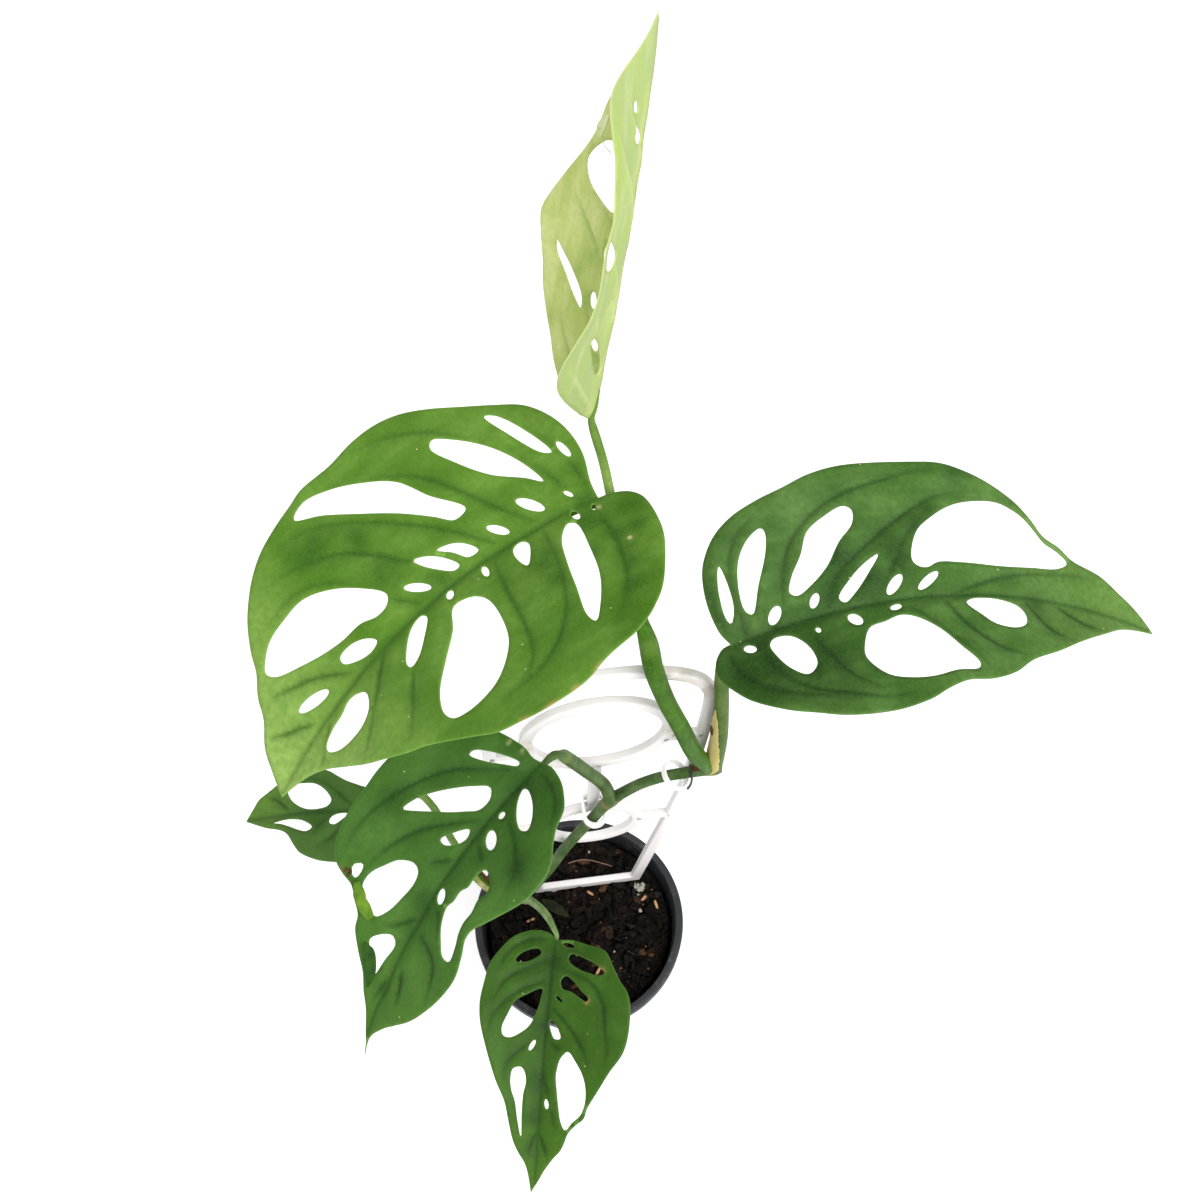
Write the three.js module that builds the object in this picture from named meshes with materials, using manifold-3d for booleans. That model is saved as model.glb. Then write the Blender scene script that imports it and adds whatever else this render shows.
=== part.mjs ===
// Monstera adansonii climbing a small plastic trellis in a black nursery pot.
// Millimetres, +Z up. The origin is the centre of the pot's flat base and +X is to the plant's right.
import * as THREE from 'three';
import { mergeVertices } from 'three/addons/utils/BufferGeometryUtils.js';
import Module from 'manifold-3d';

const wasm = await Module();
wasm.setup();

// ---- driving dimensions -------------------------------------------------------------------

const GAP = 0.3; // clearance kept where two separate pieces touch

const POT = {
  height: 115, rimRadius: 65, baseRadius: 47.5, wall: 2.2, floor: 2.5, lipHeight: 9, lipStep: 3.2, lipWidth: 5,
  sides: 44, drainRadius: 4, drainCircle: 31, drains: 6,
};
const SOIL = {
  level: 104, shoulder: 2.6, bumps: 1.1, rings: 7, sides: 40,
  chips: 26, chipReach: 50, chipTilt: 0.45, chipSmall: [5, 3, 2], chipExtra: [6, 3, 1.5],
};
const TRELLIS = {
  foot: new THREE.Vector3(5, 25.5, 108.5), yaw: 8, lean: 1.7, bar: 6.5, depth: 4.4,
  legs: [-22, 22], legLength: 48, legWidth: 5, legPoint: 2, legDepth: 3.8,
  lowRing: { h: 113.5, r: 25.4 }, highRing: { h: 236, r: 34.5 }, lowRung: 114, highRung: 224, rung: 5.2,
};
// Places on the trellis panel: w along its width, n through it (behind is positive), h up from its foot bar.
const STRAP = { w: -0.1, h: 142.1, height: 6, wall: 1.6, halfWidth: 4.7, front: -7.9, back: 2.5 };
const HOOP = {
  w: 39.7, n: -7.9, h: 191.2, radius: 7.45, slant: 36, wall: 1, height: 3.2, sides: 36,
  body: { w: 48.5, n: -5.1, h: 183, width: 8, depth: 5.2, height: 10 },
};
const TIE = { w: 47.4, n: -8.1, h: 192.3, radius: 4, wire: 0.6, tail: 12, from: 42, to: 180, turn: 23 };
// A blade's thickness, and the spacing of the corners on its margin, on its holes and over it.
const BLADE = { thickness: 0.8, margin: 6, hole: 5, midrib: 8, field: 13, clear: 5 };
const STALK = { sides: 10, step: 7, tip: 1.5, under: [4, 12] }; // a petiole and its run under the blade

// Half-width and height of the trellis frame's centre line, from the foot bar up to the crown.
const FRAME_SIDE = [[31, 0], [44, 107], [50, 162], [51.8, 221], [52, 260], [48.5, 277], [39, 289], [20, 297.5], [0, 299]];

// The vine's centre line and radius, from its root to the upper node.
const VINE = [
  [-43.5, 13.6, 84, 2.9], [-40, 13.6, 105, 3], [-30, 13.5, 131.5, 3], [-17, 15.3, 168.5, 3], [-5.5, 16.8, 208, 3],
  [9.9, 18.3, 252, 3], [15.5, 19.2, 267, 3.2], [18.8, 19.6, 274.6, 3.9], [22, 20, 279, 3.2], [33.4, 21.6, 291.5, 2.9],
  [44.4, 23.1, 297.6, 2.9], [58.6, 25.1, 299.3, 3], [66, 26.4, 299.5, 3.4], [71, 27, 300, 3.9], [74, 27.4, 300.6, 3],
];

// Each leaf: where its blade starts and ends, which way its face looks, how far the midrib arches
// up and bows to the left, how steeply each half folds up and how much that swings, the height, count
// and phase of its waves, and its petiole's centre line and radius.
// Outlines and holes are drawn flat in millimetres, (along the midrib, out to the left), then scaled.
// A hole of five numbers is an oval: centre, half-length, half-width and turn in degrees.
const LEAVES = {
  leaf_top_new: {
    base: [9.2, 94.1, 500], tip: [32.1, 158.1, 632], face: [-0.947, -0.085, 0.316], size: 0.956,
    arch: -2.2, bow: 0, fold: [28, 33], swing: [0, 8], wave: [0.3, 3, 0.2],
    color: 0xa9c46c,
    left: [[0, 0], [-2, 6], [0, 14], [6, 22], [13, 28], [22, 33], [30, 38], [40, 42.5], [50, 44.5], [60, 48], [69, 50.5],
      [77, 47], [88, 39], [98, 31], [106, 25.5], [113, 22.5], [120, 20], [130, 14], [138, 9], [146, 4], [155, 0]],
    right: [[0, 0], [1, -4], [8, -16], [18, -31], [27, -42], [36, -49], [44, -51], [51, -47], [56, -40], [64, -38],
      [74, -40], [83, -39], [89, -31], [95, -30], [102, -30.5], [111, -30], [120, -32.5], [127, -33], [133, -31],
      [138, -24], [144, -12], [150, -4], [155, 0]],
    holes: [
      [[40, 18], [45, 18.5], [52, 25], [58, 33], [61, 38], [57, 37], [50, 30], [44, 24]],
      [[82, 9], [86, 6.5], [94, 6], [102, 9], [107, 15], [105, 20], [97, 27], [90, 25], [84.5, 17]],
      [[71.2, 8.7], [70, 5.4], [67.2, 3.5], [63, 4.2], [59.7, 6.3], [61.1, 9.1], [64.6, 10.3], [68.3, 10.1]],
      [46, 11.5, 3.4, 1.9, 10], [29.3, 6.3, 2.7, 2, 40], [121.9, 5.5, 3, 1.6, 12], [112.9, 2.8, 3.8, 1.7, 12],
      [[84, -33], [79.6, -24.6], [73.6, -17.5], [70.6, -19.5], [71.3, -28], [75.5, -35], [80, -36]],
      [[41, -19], [36.7, -11.5], [31.1, -6.5], [25.7, -3.3], [21.3, -2.8], [20.8, -4.8], [25.2, -9.5], [31.1, -14],
        [37.3, -19.4], [40.5, -21.5]],
      [51.5, -9, 3.2, 1, 60],
      [[127.6, -11.3], [125, -8.9], [122.6, -9.2], [123.6, -11.8], [126.1, -13]],
      [[119.5, -9.7], [117.2, -6.6], [114.5, -3.4], [111.9, -2.9], [111.2, -4.9], [113.1, -8.2], [116.1, -9.6]],
    ],
    petiole: [[33, 31, 432, 2.3], [26.6, 46, 448, 2.1], [19.6, 66, 468, 2], [14.4, 84, 484, 1.9], [10.6, 92.4, 494, 1.8],
      [9.4, 94, 499.4, 1.6]],
  },
  leaf_big_left: {
    base: [12.35, 69.8, 480], tip: [-114.7, -30.3, 414.8], face: [-0.25, -0.1, 1], size: 0.932,
    arch: 12, bow: -12, fold: [14, 14], swing: [0, 0], wave: [0.5, 3, 0.1],
    color: 0x5f9a3a,
    left: [[0, 0], [-6, 1], [-12, 4], [-16, 10], [-17, 20], [-16, 32], [-12, 44], [-6, 57], [0, 65], [7, 71], [15, 75],
      [30, 78], [42, 82], [55, 84], [68, 84], [80, 81], [90, 77], [100, 70], [110, 63], [120, 56], [130, 50],
      [140, 42], [148, 35], [156, 26], [165, 15.5], [175, 7.5], [188, 0]],
    right: [[0, 0], [0, -8], [-2, -20], [-1, -31], [3, -42], [10, -52], [20, -59], [30, -65], [40, -71], [50, -76],
      [60, -79], [70, -80], [80, -79], [92, -79], [100, -76], [110, -73], [120, -70], [130, -65], [140, -57],
      [148, -47], [153, -39], [160, -32], [166, -24], [175, -17], [182, -8], [188, 0]],
    holes: [
      [[13, 8], [13, 25], [15, 40], [20, 52], [26, 60], [28, 55], [26, 40], [24, 25], [21, 12], [16, 6]],
      [[60, 25], [62, 17], [67, 12], [75, 10.5], [81, 21], [91, 31], [101, 41], [105, 50], [103, 56], [96, 59],
        [85, 60], [76, 58], [68, 52], [62, 43]],
      [[87, 5], [89, 1.6], [95, 3], [102, 10], [106, 17], [105, 20], [100, 19], [93, 13]],
      [[128, 10], [132, 5.5], [137, 4.2], [143, 6], [150, 6.5], [157, 9], [158, 12], [154, 17], [147, 20],
        [138, 20.5], [131, 17]],
      [[34, 5], [36.5, 1.8], [40.5, 3], [41.5, 9], [39, 16], [36, 12]],
      [11.5, 3.6, 3.2, 1.5, 100], [55.5, 5.2, 3.4, 1.5, 90], [73.5, 3.6, 2.6, 1.9, 80], [3.4, 4, 1.8, 0.9, 80],
      [[8.5, -27], [12, -29], [20, -44], [24.5, -56], [21, -54], [14, -42]],
      [[16.5, -17], [22, -22], [33, -31], [42, -44], [47, -55], [45, -58], [38, -53], [28, -42], [20, -28]],
      [[48, -24], [54, -22.5], [60, -29], [70, -40], [82, -52], [93, -63], [101.5, -70], [95, -73.5], [85, -70],
        [74, -62], [64, -52], [57, -38]],
      [[94, -16], [97, -12.5], [103, -12], [110, -15], [120, -16], [130, -19], [140, -24], [149, -30], [151, -35],
        [147, -39], [140, -42.5], [130, -43], [120, -42], [110, -36], [101, -27]],
      [[53, -5.5], [58, -5.5], [62, -11], [67, -16.5], [60, -14.5], [55, -10]],
      [[63, -5], [66, -4.5], [71, -9], [76, -16], [77, -19.5], [73, -18], [67, -12.5]],
      [[110, -4.5], [115, -3], [122, -5], [127, -9], [126, -12], [119, -12], [112.5, -8.5]],
      [25.5, -10.5, 6.4, 2.2, -50], [41.8, -8.2, 5, 1.8, -48], [82.5, -9, 6, 1.9, -42], [147, -9.6, 8, 2.6, -20],
      [4, -26, 4.4, 1.4, -75], [10, -7, 2.2, 0.9, -55],
    ],
    petiole: [[69.4, 26.8, 300, 4.1], [58.2, 22, 333, 4.3], [49.9, 21, 365.5, 4.2], [41.8, 22, 393, 4.1],
      [35.4, 24.2, 420, 4.3], [33, 29, 433, 4.1], [30, 34.5, 442, 2.9], [25, 44, 455, 2.6], [18, 58, 472, 2.4],
      [13.2, 67.6, 478.5, 2]],
  },
  leaf_right: {
    base: [66, 28, 430], tip: [262, 54, 394], face: [0.05, -0.05, 1], size: 1,
    arch: 16, bow: 14, fold: [14, 14], swing: [0, 0], wave: [0.6, 3, 0.6],
    color: 0x3f7d33,
    left: [[2, 0.5], [-0.5, 8], [-0.5, 20], [2, 32], [6, 40], [12, 47], [20, 52], [30, 55], [40, 57], [50, 60],
      [62, 62], [75, 62], [90, 60.5], [100, 59], [110, 55], [120, 50], [130, 43.5], [137, 36.5], [142.5, 29.5],
      [150, 25.5], [157, 20.5], [170, 17], [180, 12], [190, 7], [201, 0]],
    right: [[2, 0.5], [-3, -0.5], [-7, -5], [-8, -12], [-5, -20], [0, -28], [10, -37], [20, -43], [30, -48],
      [42, -51], [55, -52], [68, -50.5], [78, -47], [88, -44.5], [100, -44.5], [113, -41], [125, -34], [140, -28],
      [155, -20], [170, -12], [183, -5], [201, 0]],
    holes: [
      [[4, 12], [5, 9], [8, 14], [9.5, 25], [9, 33.5], [6, 26]],
      [[12, 18], [12, 11.5], [14, 9.5], [20, 20], [27, 33], [29, 41], [28, 43], [22, 40], [16, 32]],
      [[30.5, 13], [33, 11], [40, 14], [48, 20], [55, 29], [62, 36], [63, 42], [60, 44], [52, 41], [44, 36],
        [39, 27], [33, 19]],
      [[49, 5.5], [51, 3.2], [57, 7], [64, 14], [69.5, 21], [63, 18], [55, 12]],
      [[83, 17], [85, 14], [89, 13], [94, 15], [105, 14.5], [122, 13.4], [137, 14.2], [149, 15.6], [154, 19],
        [150, 22.8], [143, 26.5], [139, 31], [134, 36.3], [129, 39.5], [122, 42], [110, 41.5], [102, 39.5],
        [94, 35], [87, 29]],
      [22, 6, 4.2, 2.3, 50], [39, 7, 3.4, 1.8, 55], [73.5, 7, 5.4, 2.2, 45], [88.5, 7.2, 6, 1.9, 35],
      [[15.5, -6], [18, -3.4], [24, -4.4], [28, -9], [30, -16], [29, -22], [24, -25], [19, -20], [16, -12]],
      [[49.5, -25], [52, -17.5], [57, -11], [64, -9.6], [72, -7.6], [78, -9.6], [86, -17], [92, -27], [97, -36],
        [95, -39], [85, -39], [74, -40.3], [64, -39], [55, -35]],
      [[103.5, -4], [107, -1.6], [114, -0.9], [121, -1.8], [128, -5], [130, -10], [128, -15], [122, -17.4],
        [113, -15.5], [108, -10.5]],
      [7.8, -4.2, 2.6, 1.9, -40], [52.4, -5.6, 3.5, 2.7, -60], [71.4, -3.2, 2.8, 1.5, 15], [36, -6.2, 1.4, 1.1, 90],
    ],
    petiole: [[71, 27, 301, 3.7], [70.9, 27, 313, 3.9], [70.2, 26.6, 340, 3.9], [67.9, 26.6, 376, 3.6],
      [65.6, 27.6, 408, 3.1], [65.2, 28, 422, 2.5], [66, 28, 428.6, 2]],
  },
  leaf_middle: {
    base: [-13, -0.8, 374.3], tip: [-89.3, -105.7, 318.2], face: [-0.2, -0.1, 1], size: 0.905,
    arch: 10, bow: -6, fold: [12, 14], swing: [0, 0], wave: [0.6, 3, 0.4],
    color: 0x2f6a2c,
    left: [[-1, 0], [-2.5, 6], [-1, 14], [2, 20], [8, 27], [17, 31], [24, 36], [30, 41], [38, 44], [48, 44], [57, 41],
      [65, 37], [74, 32], [80, 28.5], [86, 28], [93, 31], [102, 33.5], [110, 33], [120, 30], [130, 25], [137, 20],
      [143, 13.5], [149, 7], [157, 1.5], [166, 2.5]],
    right: [[-1, 0], [0.5, -5], [0, -12], [2, -22], [6, -33], [13, -43], [24, -52], [37, -57], [50, -59], [60, -58.5],
      [70, -58], [80, -56.5], [87, -54], [92, -50], [95, -44], [97, -38], [102, -33], [107, -28], [113, -26],
      [121, -20], [129, -13.5], [137, -9.5], [145, -5], [157, -0.8], [166, 2.5]],
    holes: [
      [[13, 5], [14, 2.6], [20, 5], [27, 12], [29, 17], [27, 20], [22, 18], [16, 12]],
      [[54, 16], [57, 14], [62, 13.4], [66, 13.4], [70, 11.2], [76, 11], [80, 9.6], [88, 12], [95, 17], [100, 22],
        [99.5, 26.5], [92, 25.5], [86, 23.2], [80, 22.3], [74, 23], [67, 22], [63, 23.8], [57, 22]],
      [42, 8, 5, 3, 45], [78.2, 3.6, 3.9, 2.3, 25], [30, 3.6, 2, 1.6, 0],
      [[6.5, -8], [8, -7.5], [12, -13], [17, -21], [19.5, -28.5], [17, -28.5], [11, -20]],
      [[24, -10], [28, -6.5], [35, -7], [40, -12], [45, -18], [49, -24], [53, -30], [56.5, -37], [50, -35],
        [44, -31], [37, -25], [29, -17]],
      [[45, -4.6], [49, -3], [54, -5], [58, -10], [57, -13], [52, -10.5]],
      [[73, -17], [75, -13], [81, -11.5], [90, -13], [98, -15.5], [103.5, -20], [101, -25], [98.5, -30],
        [94, -33], [88, -32.5], [81, -28], [76, -24]],
      [[107, -8], [110, -4.8], [119, -6], [129, -8.2], [121, -12.5], [114, -17], [109.5, -13.5]],
      [[86.5, -37.5], [91, -36.8], [93.5, -38], [91.5, -41.5], [87.5, -41]],
    ],
    petiole: [[18.6, 18.8, 276.5, 3.5], [14.8, 16.5, 304.9, 3.3], [6.4, 13, 331.4, 3.2], [-1.4, 9, 357, 3.2],
      [-3.2, 7.6, 363.5, 3], [-4.8, 6.2, 368, 2.1], [-8, 3.6, 373, 2], [-12.2, 0, 374.8, 1.7]],
  },
  leaf_front: {
    base: [-12.4, -22.5, 165], tip: [-23.5, -154.5, 122], face: [0, -0.15, 1], size: 1,
    arch: 10, bow: -1, fold: [12, 12], swing: [0, 0], wave: [0.6, 3, 0.8],
    color: 0x3c7a2f,
    left: [[3, 0.5], [2.5, 10], [4.5, 20], [7, 30], [15, 35.5], [22, 40], [28, 45], [36, 47.5], [50, 47.5], [60, 45],
      [70, 38.5], [80, 33], [90, 27.6], [96, 25.8], [100, 21.5], [105, 17.4], [110, 15.7], [115, 13.5], [120, 9.5],
      [127, 5], [133, 2], [140, -2]],
    right: [[3, 0.5], [0, -3], [-1, -10], [1, -18], [5, -25], [12, -31], [20, -36], [30, -38], [40, -39], [50, -37.5],
      [60, -34], [70, -30], [80, -25.5], [90, -20], [100, -17], [110, -14], [117, -10.5], [123, -6.5],
      [130, -4], [140, -2]],
    holes: [
      [[10, 10.5], [13, 9], [17, 14], [19.5, 22], [20.3, 28], [19, 31], [15, 26], [12, 19]],
      [[22, 8.5], [25, 6], [29, 7.5], [30, 12], [33, 18], [34.8, 22], [33, 23], [29, 18], [25, 14]],
      [[46, 3.2], [47.5, 1.8], [52, 3], [56, 5.5], [55.5, 9], [52, 8], [48.5, 5.8]],
      [[62, 14], [66, 10], [72, 8.5], [76, 8.2], [84, 9.5], [92, 11], [100, 13], [103.5, 15.6], [99, 19.2],
        [94.5, 23.6], [88, 25.8], [80, 25.6], [73, 23.2], [67, 19]],
      [5.4, 8.4, 3.6, 1.2, 80], [34.6, 6, 2.5, 0.8, 50], [91, 4, 2.7, 1.2, 10],
      [[9, -8.5], [11, -7], [14, -10], [17, -16], [17, -21.5], [14.5, -20.5], [10.5, -15]],
      [[30, -4.2], [35, -4.5], [42, -6], [50, -9.5], [54, -14], [57, -20], [56, -24], [52, -25], [45, -22.5],
        [38, -19], [34, -13]],
      [[72, -12], [75, -9.6], [80, -8.6], [86, -9.6], [96, -9.7], [109, -9.2], [100, -11.8], [90, -14], [84, -16.5],
        [78, -17.5], [73, -16.5]],
      [60.3, -6.8, 3.2, 1.3, -28],
    ],
    petiole: [[-36.5, 12.3, 113, 2.5], [-33.4, 8.5, 126, 2.4], [-28.5, 4, 142, 2.2], [-18.4, -9, 158.5, 2],
      [-13.4, -19.6, 164.4, 1.6], [-12.4, -22.2, 164.6, 1.6]],
  },
  leaf_left_low: {
    base: [-108, 44, 188], tip: [-196, 40, 182], face: [0, 0, 1], size: 1,
    arch: 8, bow: 0, fold: [12, 12], swing: [0, 0], wave: [0.5, 3, 0.3],
    color: 0x34702d,
    left: [[0, 0], [-4, 5], [-5, 13], [-2, 22], [5, 29], [14, 33.5], [22, 35], [30, 34], [40, 32], [50, 27], [55, 21],
      [60, 13.5], [65, 10], [73, 7.5], [80, 4.5], [89, 0]],
    right: [[0, 0], [-3, -4], [-1, -9], [6, -12], [17, -14], [23, -16], [28, -18], [33, -21], [38, -24], [47, -26.5],
      [56, -25.5], [63, -22], [70, -17], [75, -14], [80, -11], [84, -6], [89, 0]],
    holes: [
      [[36, -6.5], [38, -3.4], [43, -2], [50, -2.2], [56, -5], [60, -9], [61.5, -13.5], [58, -17], [52, -17.5],
        [45, -16.5], [39, -12]],
      [[46, 10], [49, 12.4], [54, 11], [60, 8], [66, 5.5], [70, 4.6], [66, 3.6], [60, 3.2], [52, 5]],
      [[26, 1.6], [29, 1.2], [33, 2], [36, 4.6], [36, 8], [33.5, 9], [30, 6.5]],
      [15, 18, 8, 2.8, 65], [7.5, 5, 2.8, 1.3, 60], [14, -6, 3.4, 1.5, -50],
    ],
    petiole: [[-40, 12, 108, 2.6], [-49, 15.4, 113, 2.5], [-59, 20.6, 122.5, 2.4], [-69, 28.5, 140, 2.3],
      [-77, 36.5, 162, 2.2], [-86, 46.8, 192, 2.2], [-92.5, 50.4, 199.5, 2.2], [-100, 49, 197, 2],
      [-107.2, 44.8, 189, 1.6]],
  },
};

// ---- solids ---------------------------------------------------------------------------------

// A closed mesh with shared corners and its faces pointing out.
function closed(geometry) {
  const bare = new THREE.BufferGeometry();
  bare.setAttribute('position', geometry.getAttribute('position').clone());
  if (geometry.index) bare.setIndex(geometry.index.clone());
  const merged = mergeVertices(bare, 1e-4);
  const p = merged.getAttribute('position');
  const kept = [];
  let volume = 0;
  const corner = [new THREE.Vector3(), new THREE.Vector3(), new THREE.Vector3()];
  for (let i = 0; i < merged.index.count; i += 3) {
    const t = [0, 1, 2].map((k) => merged.index.getX(i + k));
    if (t[0] === t[1] || t[1] === t[2] || t[2] === t[0]) continue;
    t.forEach((v, k) => corner[k].fromBufferAttribute(p, v));
    volume += corner[0].dot(corner[1].clone().cross(corner[2]));
    kept.push(t);
  }
  const outward = volume > 0 ? kept : kept.map(([a, b, c]) => [a, c, b]);
  merged.setIndex(outward.flat());
  return merged;
}

const solid = (geometry) => {
  const g = closed(geometry);
  const mesh = new wasm.Mesh({
    numProp: 3,
    vertProperties: new Float32Array(g.getAttribute('position').array),
    triVerts: new Uint32Array(g.index.array),
  });
  return new wasm.Manifold(mesh);
};

function toGeometry(manifold) {
  const m = manifold.getMesh();
  const g = new THREE.BufferGeometry();
  g.setAttribute('position', new THREE.BufferAttribute(new Float32Array(m.vertProperties), 3));
  g.setIndex(Array.from(m.triVerts));
  return g;
}

const vec = (a) => new THREE.Vector3(a[0], a[1], a[2]);

// A round rod along [x, y, z, radius] stations, with its radius running smoothly between them.
function rod(stations, { sides = STALK.sides, step = 6, grow = 0 } = {}) {
  const path = new THREE.CatmullRomCurve3(stations.map(vec), false, 'centripetal');
  const steps = Math.max(4, Math.round(path.getLength() / step));
  const unit = 0.5;
  const section = new THREE.Shape();
  for (let i = 0; i < sides; i++) {
    const a = (i / sides) * 2 * Math.PI;
    if (i) section.lineTo(unit * Math.cos(a), unit * Math.sin(a));
    else section.moveTo(unit, 0);
  }
  const geometry = new THREE.ExtrudeGeometry(section, { steps, extrudePath: path, curveSegments: 1 });
  const centres = path.getSpacedPoints(steps);
  const radii = centres.map((c) => radiusNear(stations, c) + grow);
  const p = geometry.getAttribute('position');
  const v = new THREE.Vector3();
  for (let i = 0; i < p.count; i++) {
    v.fromBufferAttribute(p, i);
    let best = 0;
    centres.forEach((c, k) => { if (c.distanceTo(v) < centres[best].distanceTo(v)) best = k; });
    v.sub(centres[best]).multiplyScalar(radii[best] / unit).add(centres[best]);
    p.setXYZ(i, v.x, v.y, v.z);
  }
  return geometry;
}

// The radius at a point of the rod: a blend of the two stations that it lies between.
function radiusNear(stations, point) {
  let best = { d: Infinity, r: stations[0][3] };
  for (let i = 0; i + 1 < stations.length; i++) {
    const a = vec(stations[i]);
    const b = vec(stations[i + 1]);
    const along = b.clone().sub(a);
    const t = THREE.MathUtils.clamp(point.clone().sub(a).dot(along) / along.lengthSq(), 0, 1);
    const d = point.distanceTo(a.addScaledVector(along, t));
    if (d < best.d) best = { d, r: THREE.MathUtils.lerp(stations[i][3], stations[i + 1][3], t) };
  }
  return best.r;
}

// ---- leaves ---------------------------------------------------------------------------------

// The bent surface of a blade: place(s, t, lift) for s along the midrib and t out to the left.
function bladeSurface(leaf) {
  const base = vec(leaf.base);
  const tip = vec(leaf.tip);
  const chord = tip.clone().sub(base);
  const length = chord.length();
  const ahead = chord.clone().normalize();
  const up = vec(leaf.face);
  up.addScaledVector(ahead, -up.dot(ahead)).normalize();
  const left = up.clone().cross(ahead);
  const knee = base.clone().add(tip).multiplyScalar(0.5).addScaledVector(up, 2 * leaf.arch * leaf.size)
    .addScaledVector(left, 2 * leaf.bow * leaf.size);
  const start = knee.clone().sub(base).multiplyScalar(2);
  const end = tip.clone().sub(knee).multiplyScalar(2);
  const [waveHeight, waves, phase] = leaf.wave;

  return (s, t, lift = 0) => {
    const u = s / length;
    const c = THREE.MathUtils.clamp(u, 0, 1);
    const mid = base.clone().multiplyScalar((1 - c) ** 2).addScaledVector(knee, 2 * c * (1 - c))
      .addScaledVector(tip, c * c);
    const along = start.clone().multiplyScalar(1 - c).addScaledVector(end, c);
    mid.addScaledVector(along, u - c);
    along.normalize();
    const side = up.clone().cross(along).normalize();
    const normal = along.clone().cross(side);
    const k = t >= 0 ? 0 : 1;
    const fold = THREE.MathUtils.degToRad(leaf.fold[k] + leaf.swing[k] * Math.cos(2 * Math.PI * u));
    const ripple = waveHeight * (t / 40) ** 2 * Math.sin(2 * Math.PI * (waves * u + phase + 0.35 * k));
    const out = Math.abs(t) * Math.cos(fold) - Math.sin(fold) * lift;
    const rise = Math.abs(t) * Math.sin(fold) + ripple + Math.cos(fold) * lift;
    return mid.addScaledVector(side, k ? -out : out).addScaledVector(normal, rise);
  };
}

// Closed curves of a blade: the outline from base to tip and back, then each hole.
function bladeCurves(leaf) {
  const smooth = (points, count) => new THREE.SplineCurve(points.map(([s, t]) => new THREE.Vector2(s, t)))
    .getSpacedPoints(count);
  const edge = (points) => smooth(points, Math.round(new THREE.SplineCurve(
    points.map(([s, t]) => new THREE.Vector2(s, t))).getLength() / BLADE.margin));
  const outline = [...edge(leaf.left), ...edge(leaf.right).reverse().slice(1, -1)];
  const holes = leaf.holes.map((h) => (Array.isArray(h[0]) ? ring(h) : oval(h)));
  return [outline, ...holes].map((curve) => curve.map((p) => p.multiplyScalar(leaf.size)));
}

// A hole through listed points: a closed smooth curve with evenly spaced corners.
function ring(points) {
  const loop = new THREE.CatmullRomCurve3(points.map(([s, t]) => new THREE.Vector3(s, t, 0)), true, 'centripetal');
  const count = Math.max(8, Math.round(loop.getLength() / BLADE.hole));
  return loop.getSpacedPoints(count).slice(0, -1).map((p) => new THREE.Vector2(p.x, p.y));
}

function oval([s, t, long, wide, turn]) {
  const count = long > 3 ? 8 : 6;
  const centre = new THREE.Vector2(s, t);
  const zero = new THREE.Vector2(0, 0);
  return Array.from({ length: count }, (_, i) => {
    const a = (i / count) * 2 * Math.PI;
    return new THREE.Vector2(long * Math.cos(a), wide * Math.sin(a))
      .rotateAround(zero, THREE.MathUtils.degToRad(turn)).add(centre);
  });
}

const cross = (a, b, c) => (b.x - a.x) * (c.y - a.y) - (b.y - a.y) * (c.x - a.x);

// Positive when d lies inside the circle through the anticlockwise triangle a, b, c.
function inCircle(a, b, c, d) {
  const m = [a, b, c].map((p) => [p.x - d.x, p.y - d.y, (p.x - d.x) ** 2 + (p.y - d.y) ** 2]);
  return m[0][0] * (m[1][1] * m[2][2] - m[1][2] * m[2][1])
    - m[0][1] * (m[1][0] * m[2][2] - m[1][2] * m[2][0])
    + m[0][2] * (m[1][0] * m[2][1] - m[1][1] * m[2][0]);
}

// Triangles over the curves with extra inner points, improved by swapping edges until even.
function evenTriangles(curves, inner) {
  const points = [...curves.flat(), ...inner];
  const border = curves.flat().length;
  let tris = THREE.ShapeUtils.triangulateShape(curves[0], curves.slice(1))
    .map(([a, b, c]) => (cross(points[a], points[b], points[c]) > 0 ? [a, b, c] : [a, c, b]));
  for (let i = border; i < points.length; i++) {
    const home = tris.findIndex(([a, b, c]) => cross(points[a], points[b], points[i]) >= 0
      && cross(points[b], points[c], points[i]) >= 0 && cross(points[c], points[a], points[i]) >= 0);
    const [a, b, c] = tris[home];
    tris.splice(home, 1, [a, b, i], [b, c, i], [c, a, i]);
    tris = swapEdges(points, tris);
  }
  return { points, tris: swapEdges(points, tris) };
}

function swapEdges(points, tris) {
  const key = (a, b) => a * 65536 + b;
  for (let pass = 0, busy = true; busy && pass < 60; pass++) {
    busy = false;
    const owner = new Map();
    tris.forEach((t, i) => t.forEach((a, k) => owner.set(key(a, t[(k + 1) % 3]), i)));
    const touched = new Set();
    tris.forEach((t, i) => {
      for (let k = 0; k < 3; k++) {
        const [a, b, c] = [t[k], t[(k + 1) % 3], t[(k + 2) % 3]];
        const j = owner.get(key(b, a));
        if (j === undefined || touched.has(i) || touched.has(j)) continue;
        const d = tris[j].find((v) => v !== a && v !== b);
        const convex = cross(points[a], points[d], points[c]) > 1e-9 && cross(points[d], points[b], points[c]) > 1e-9;
        if (!convex || inCircle(points[a], points[b], points[c], points[d]) <= 1e-6) continue;
        tris[i] = [a, d, c];
        tris[j] = [d, b, c];
        touched.add(i).add(j);
        busy = true;
        break;
      }
    });
  }
  return tris;
}

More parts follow.
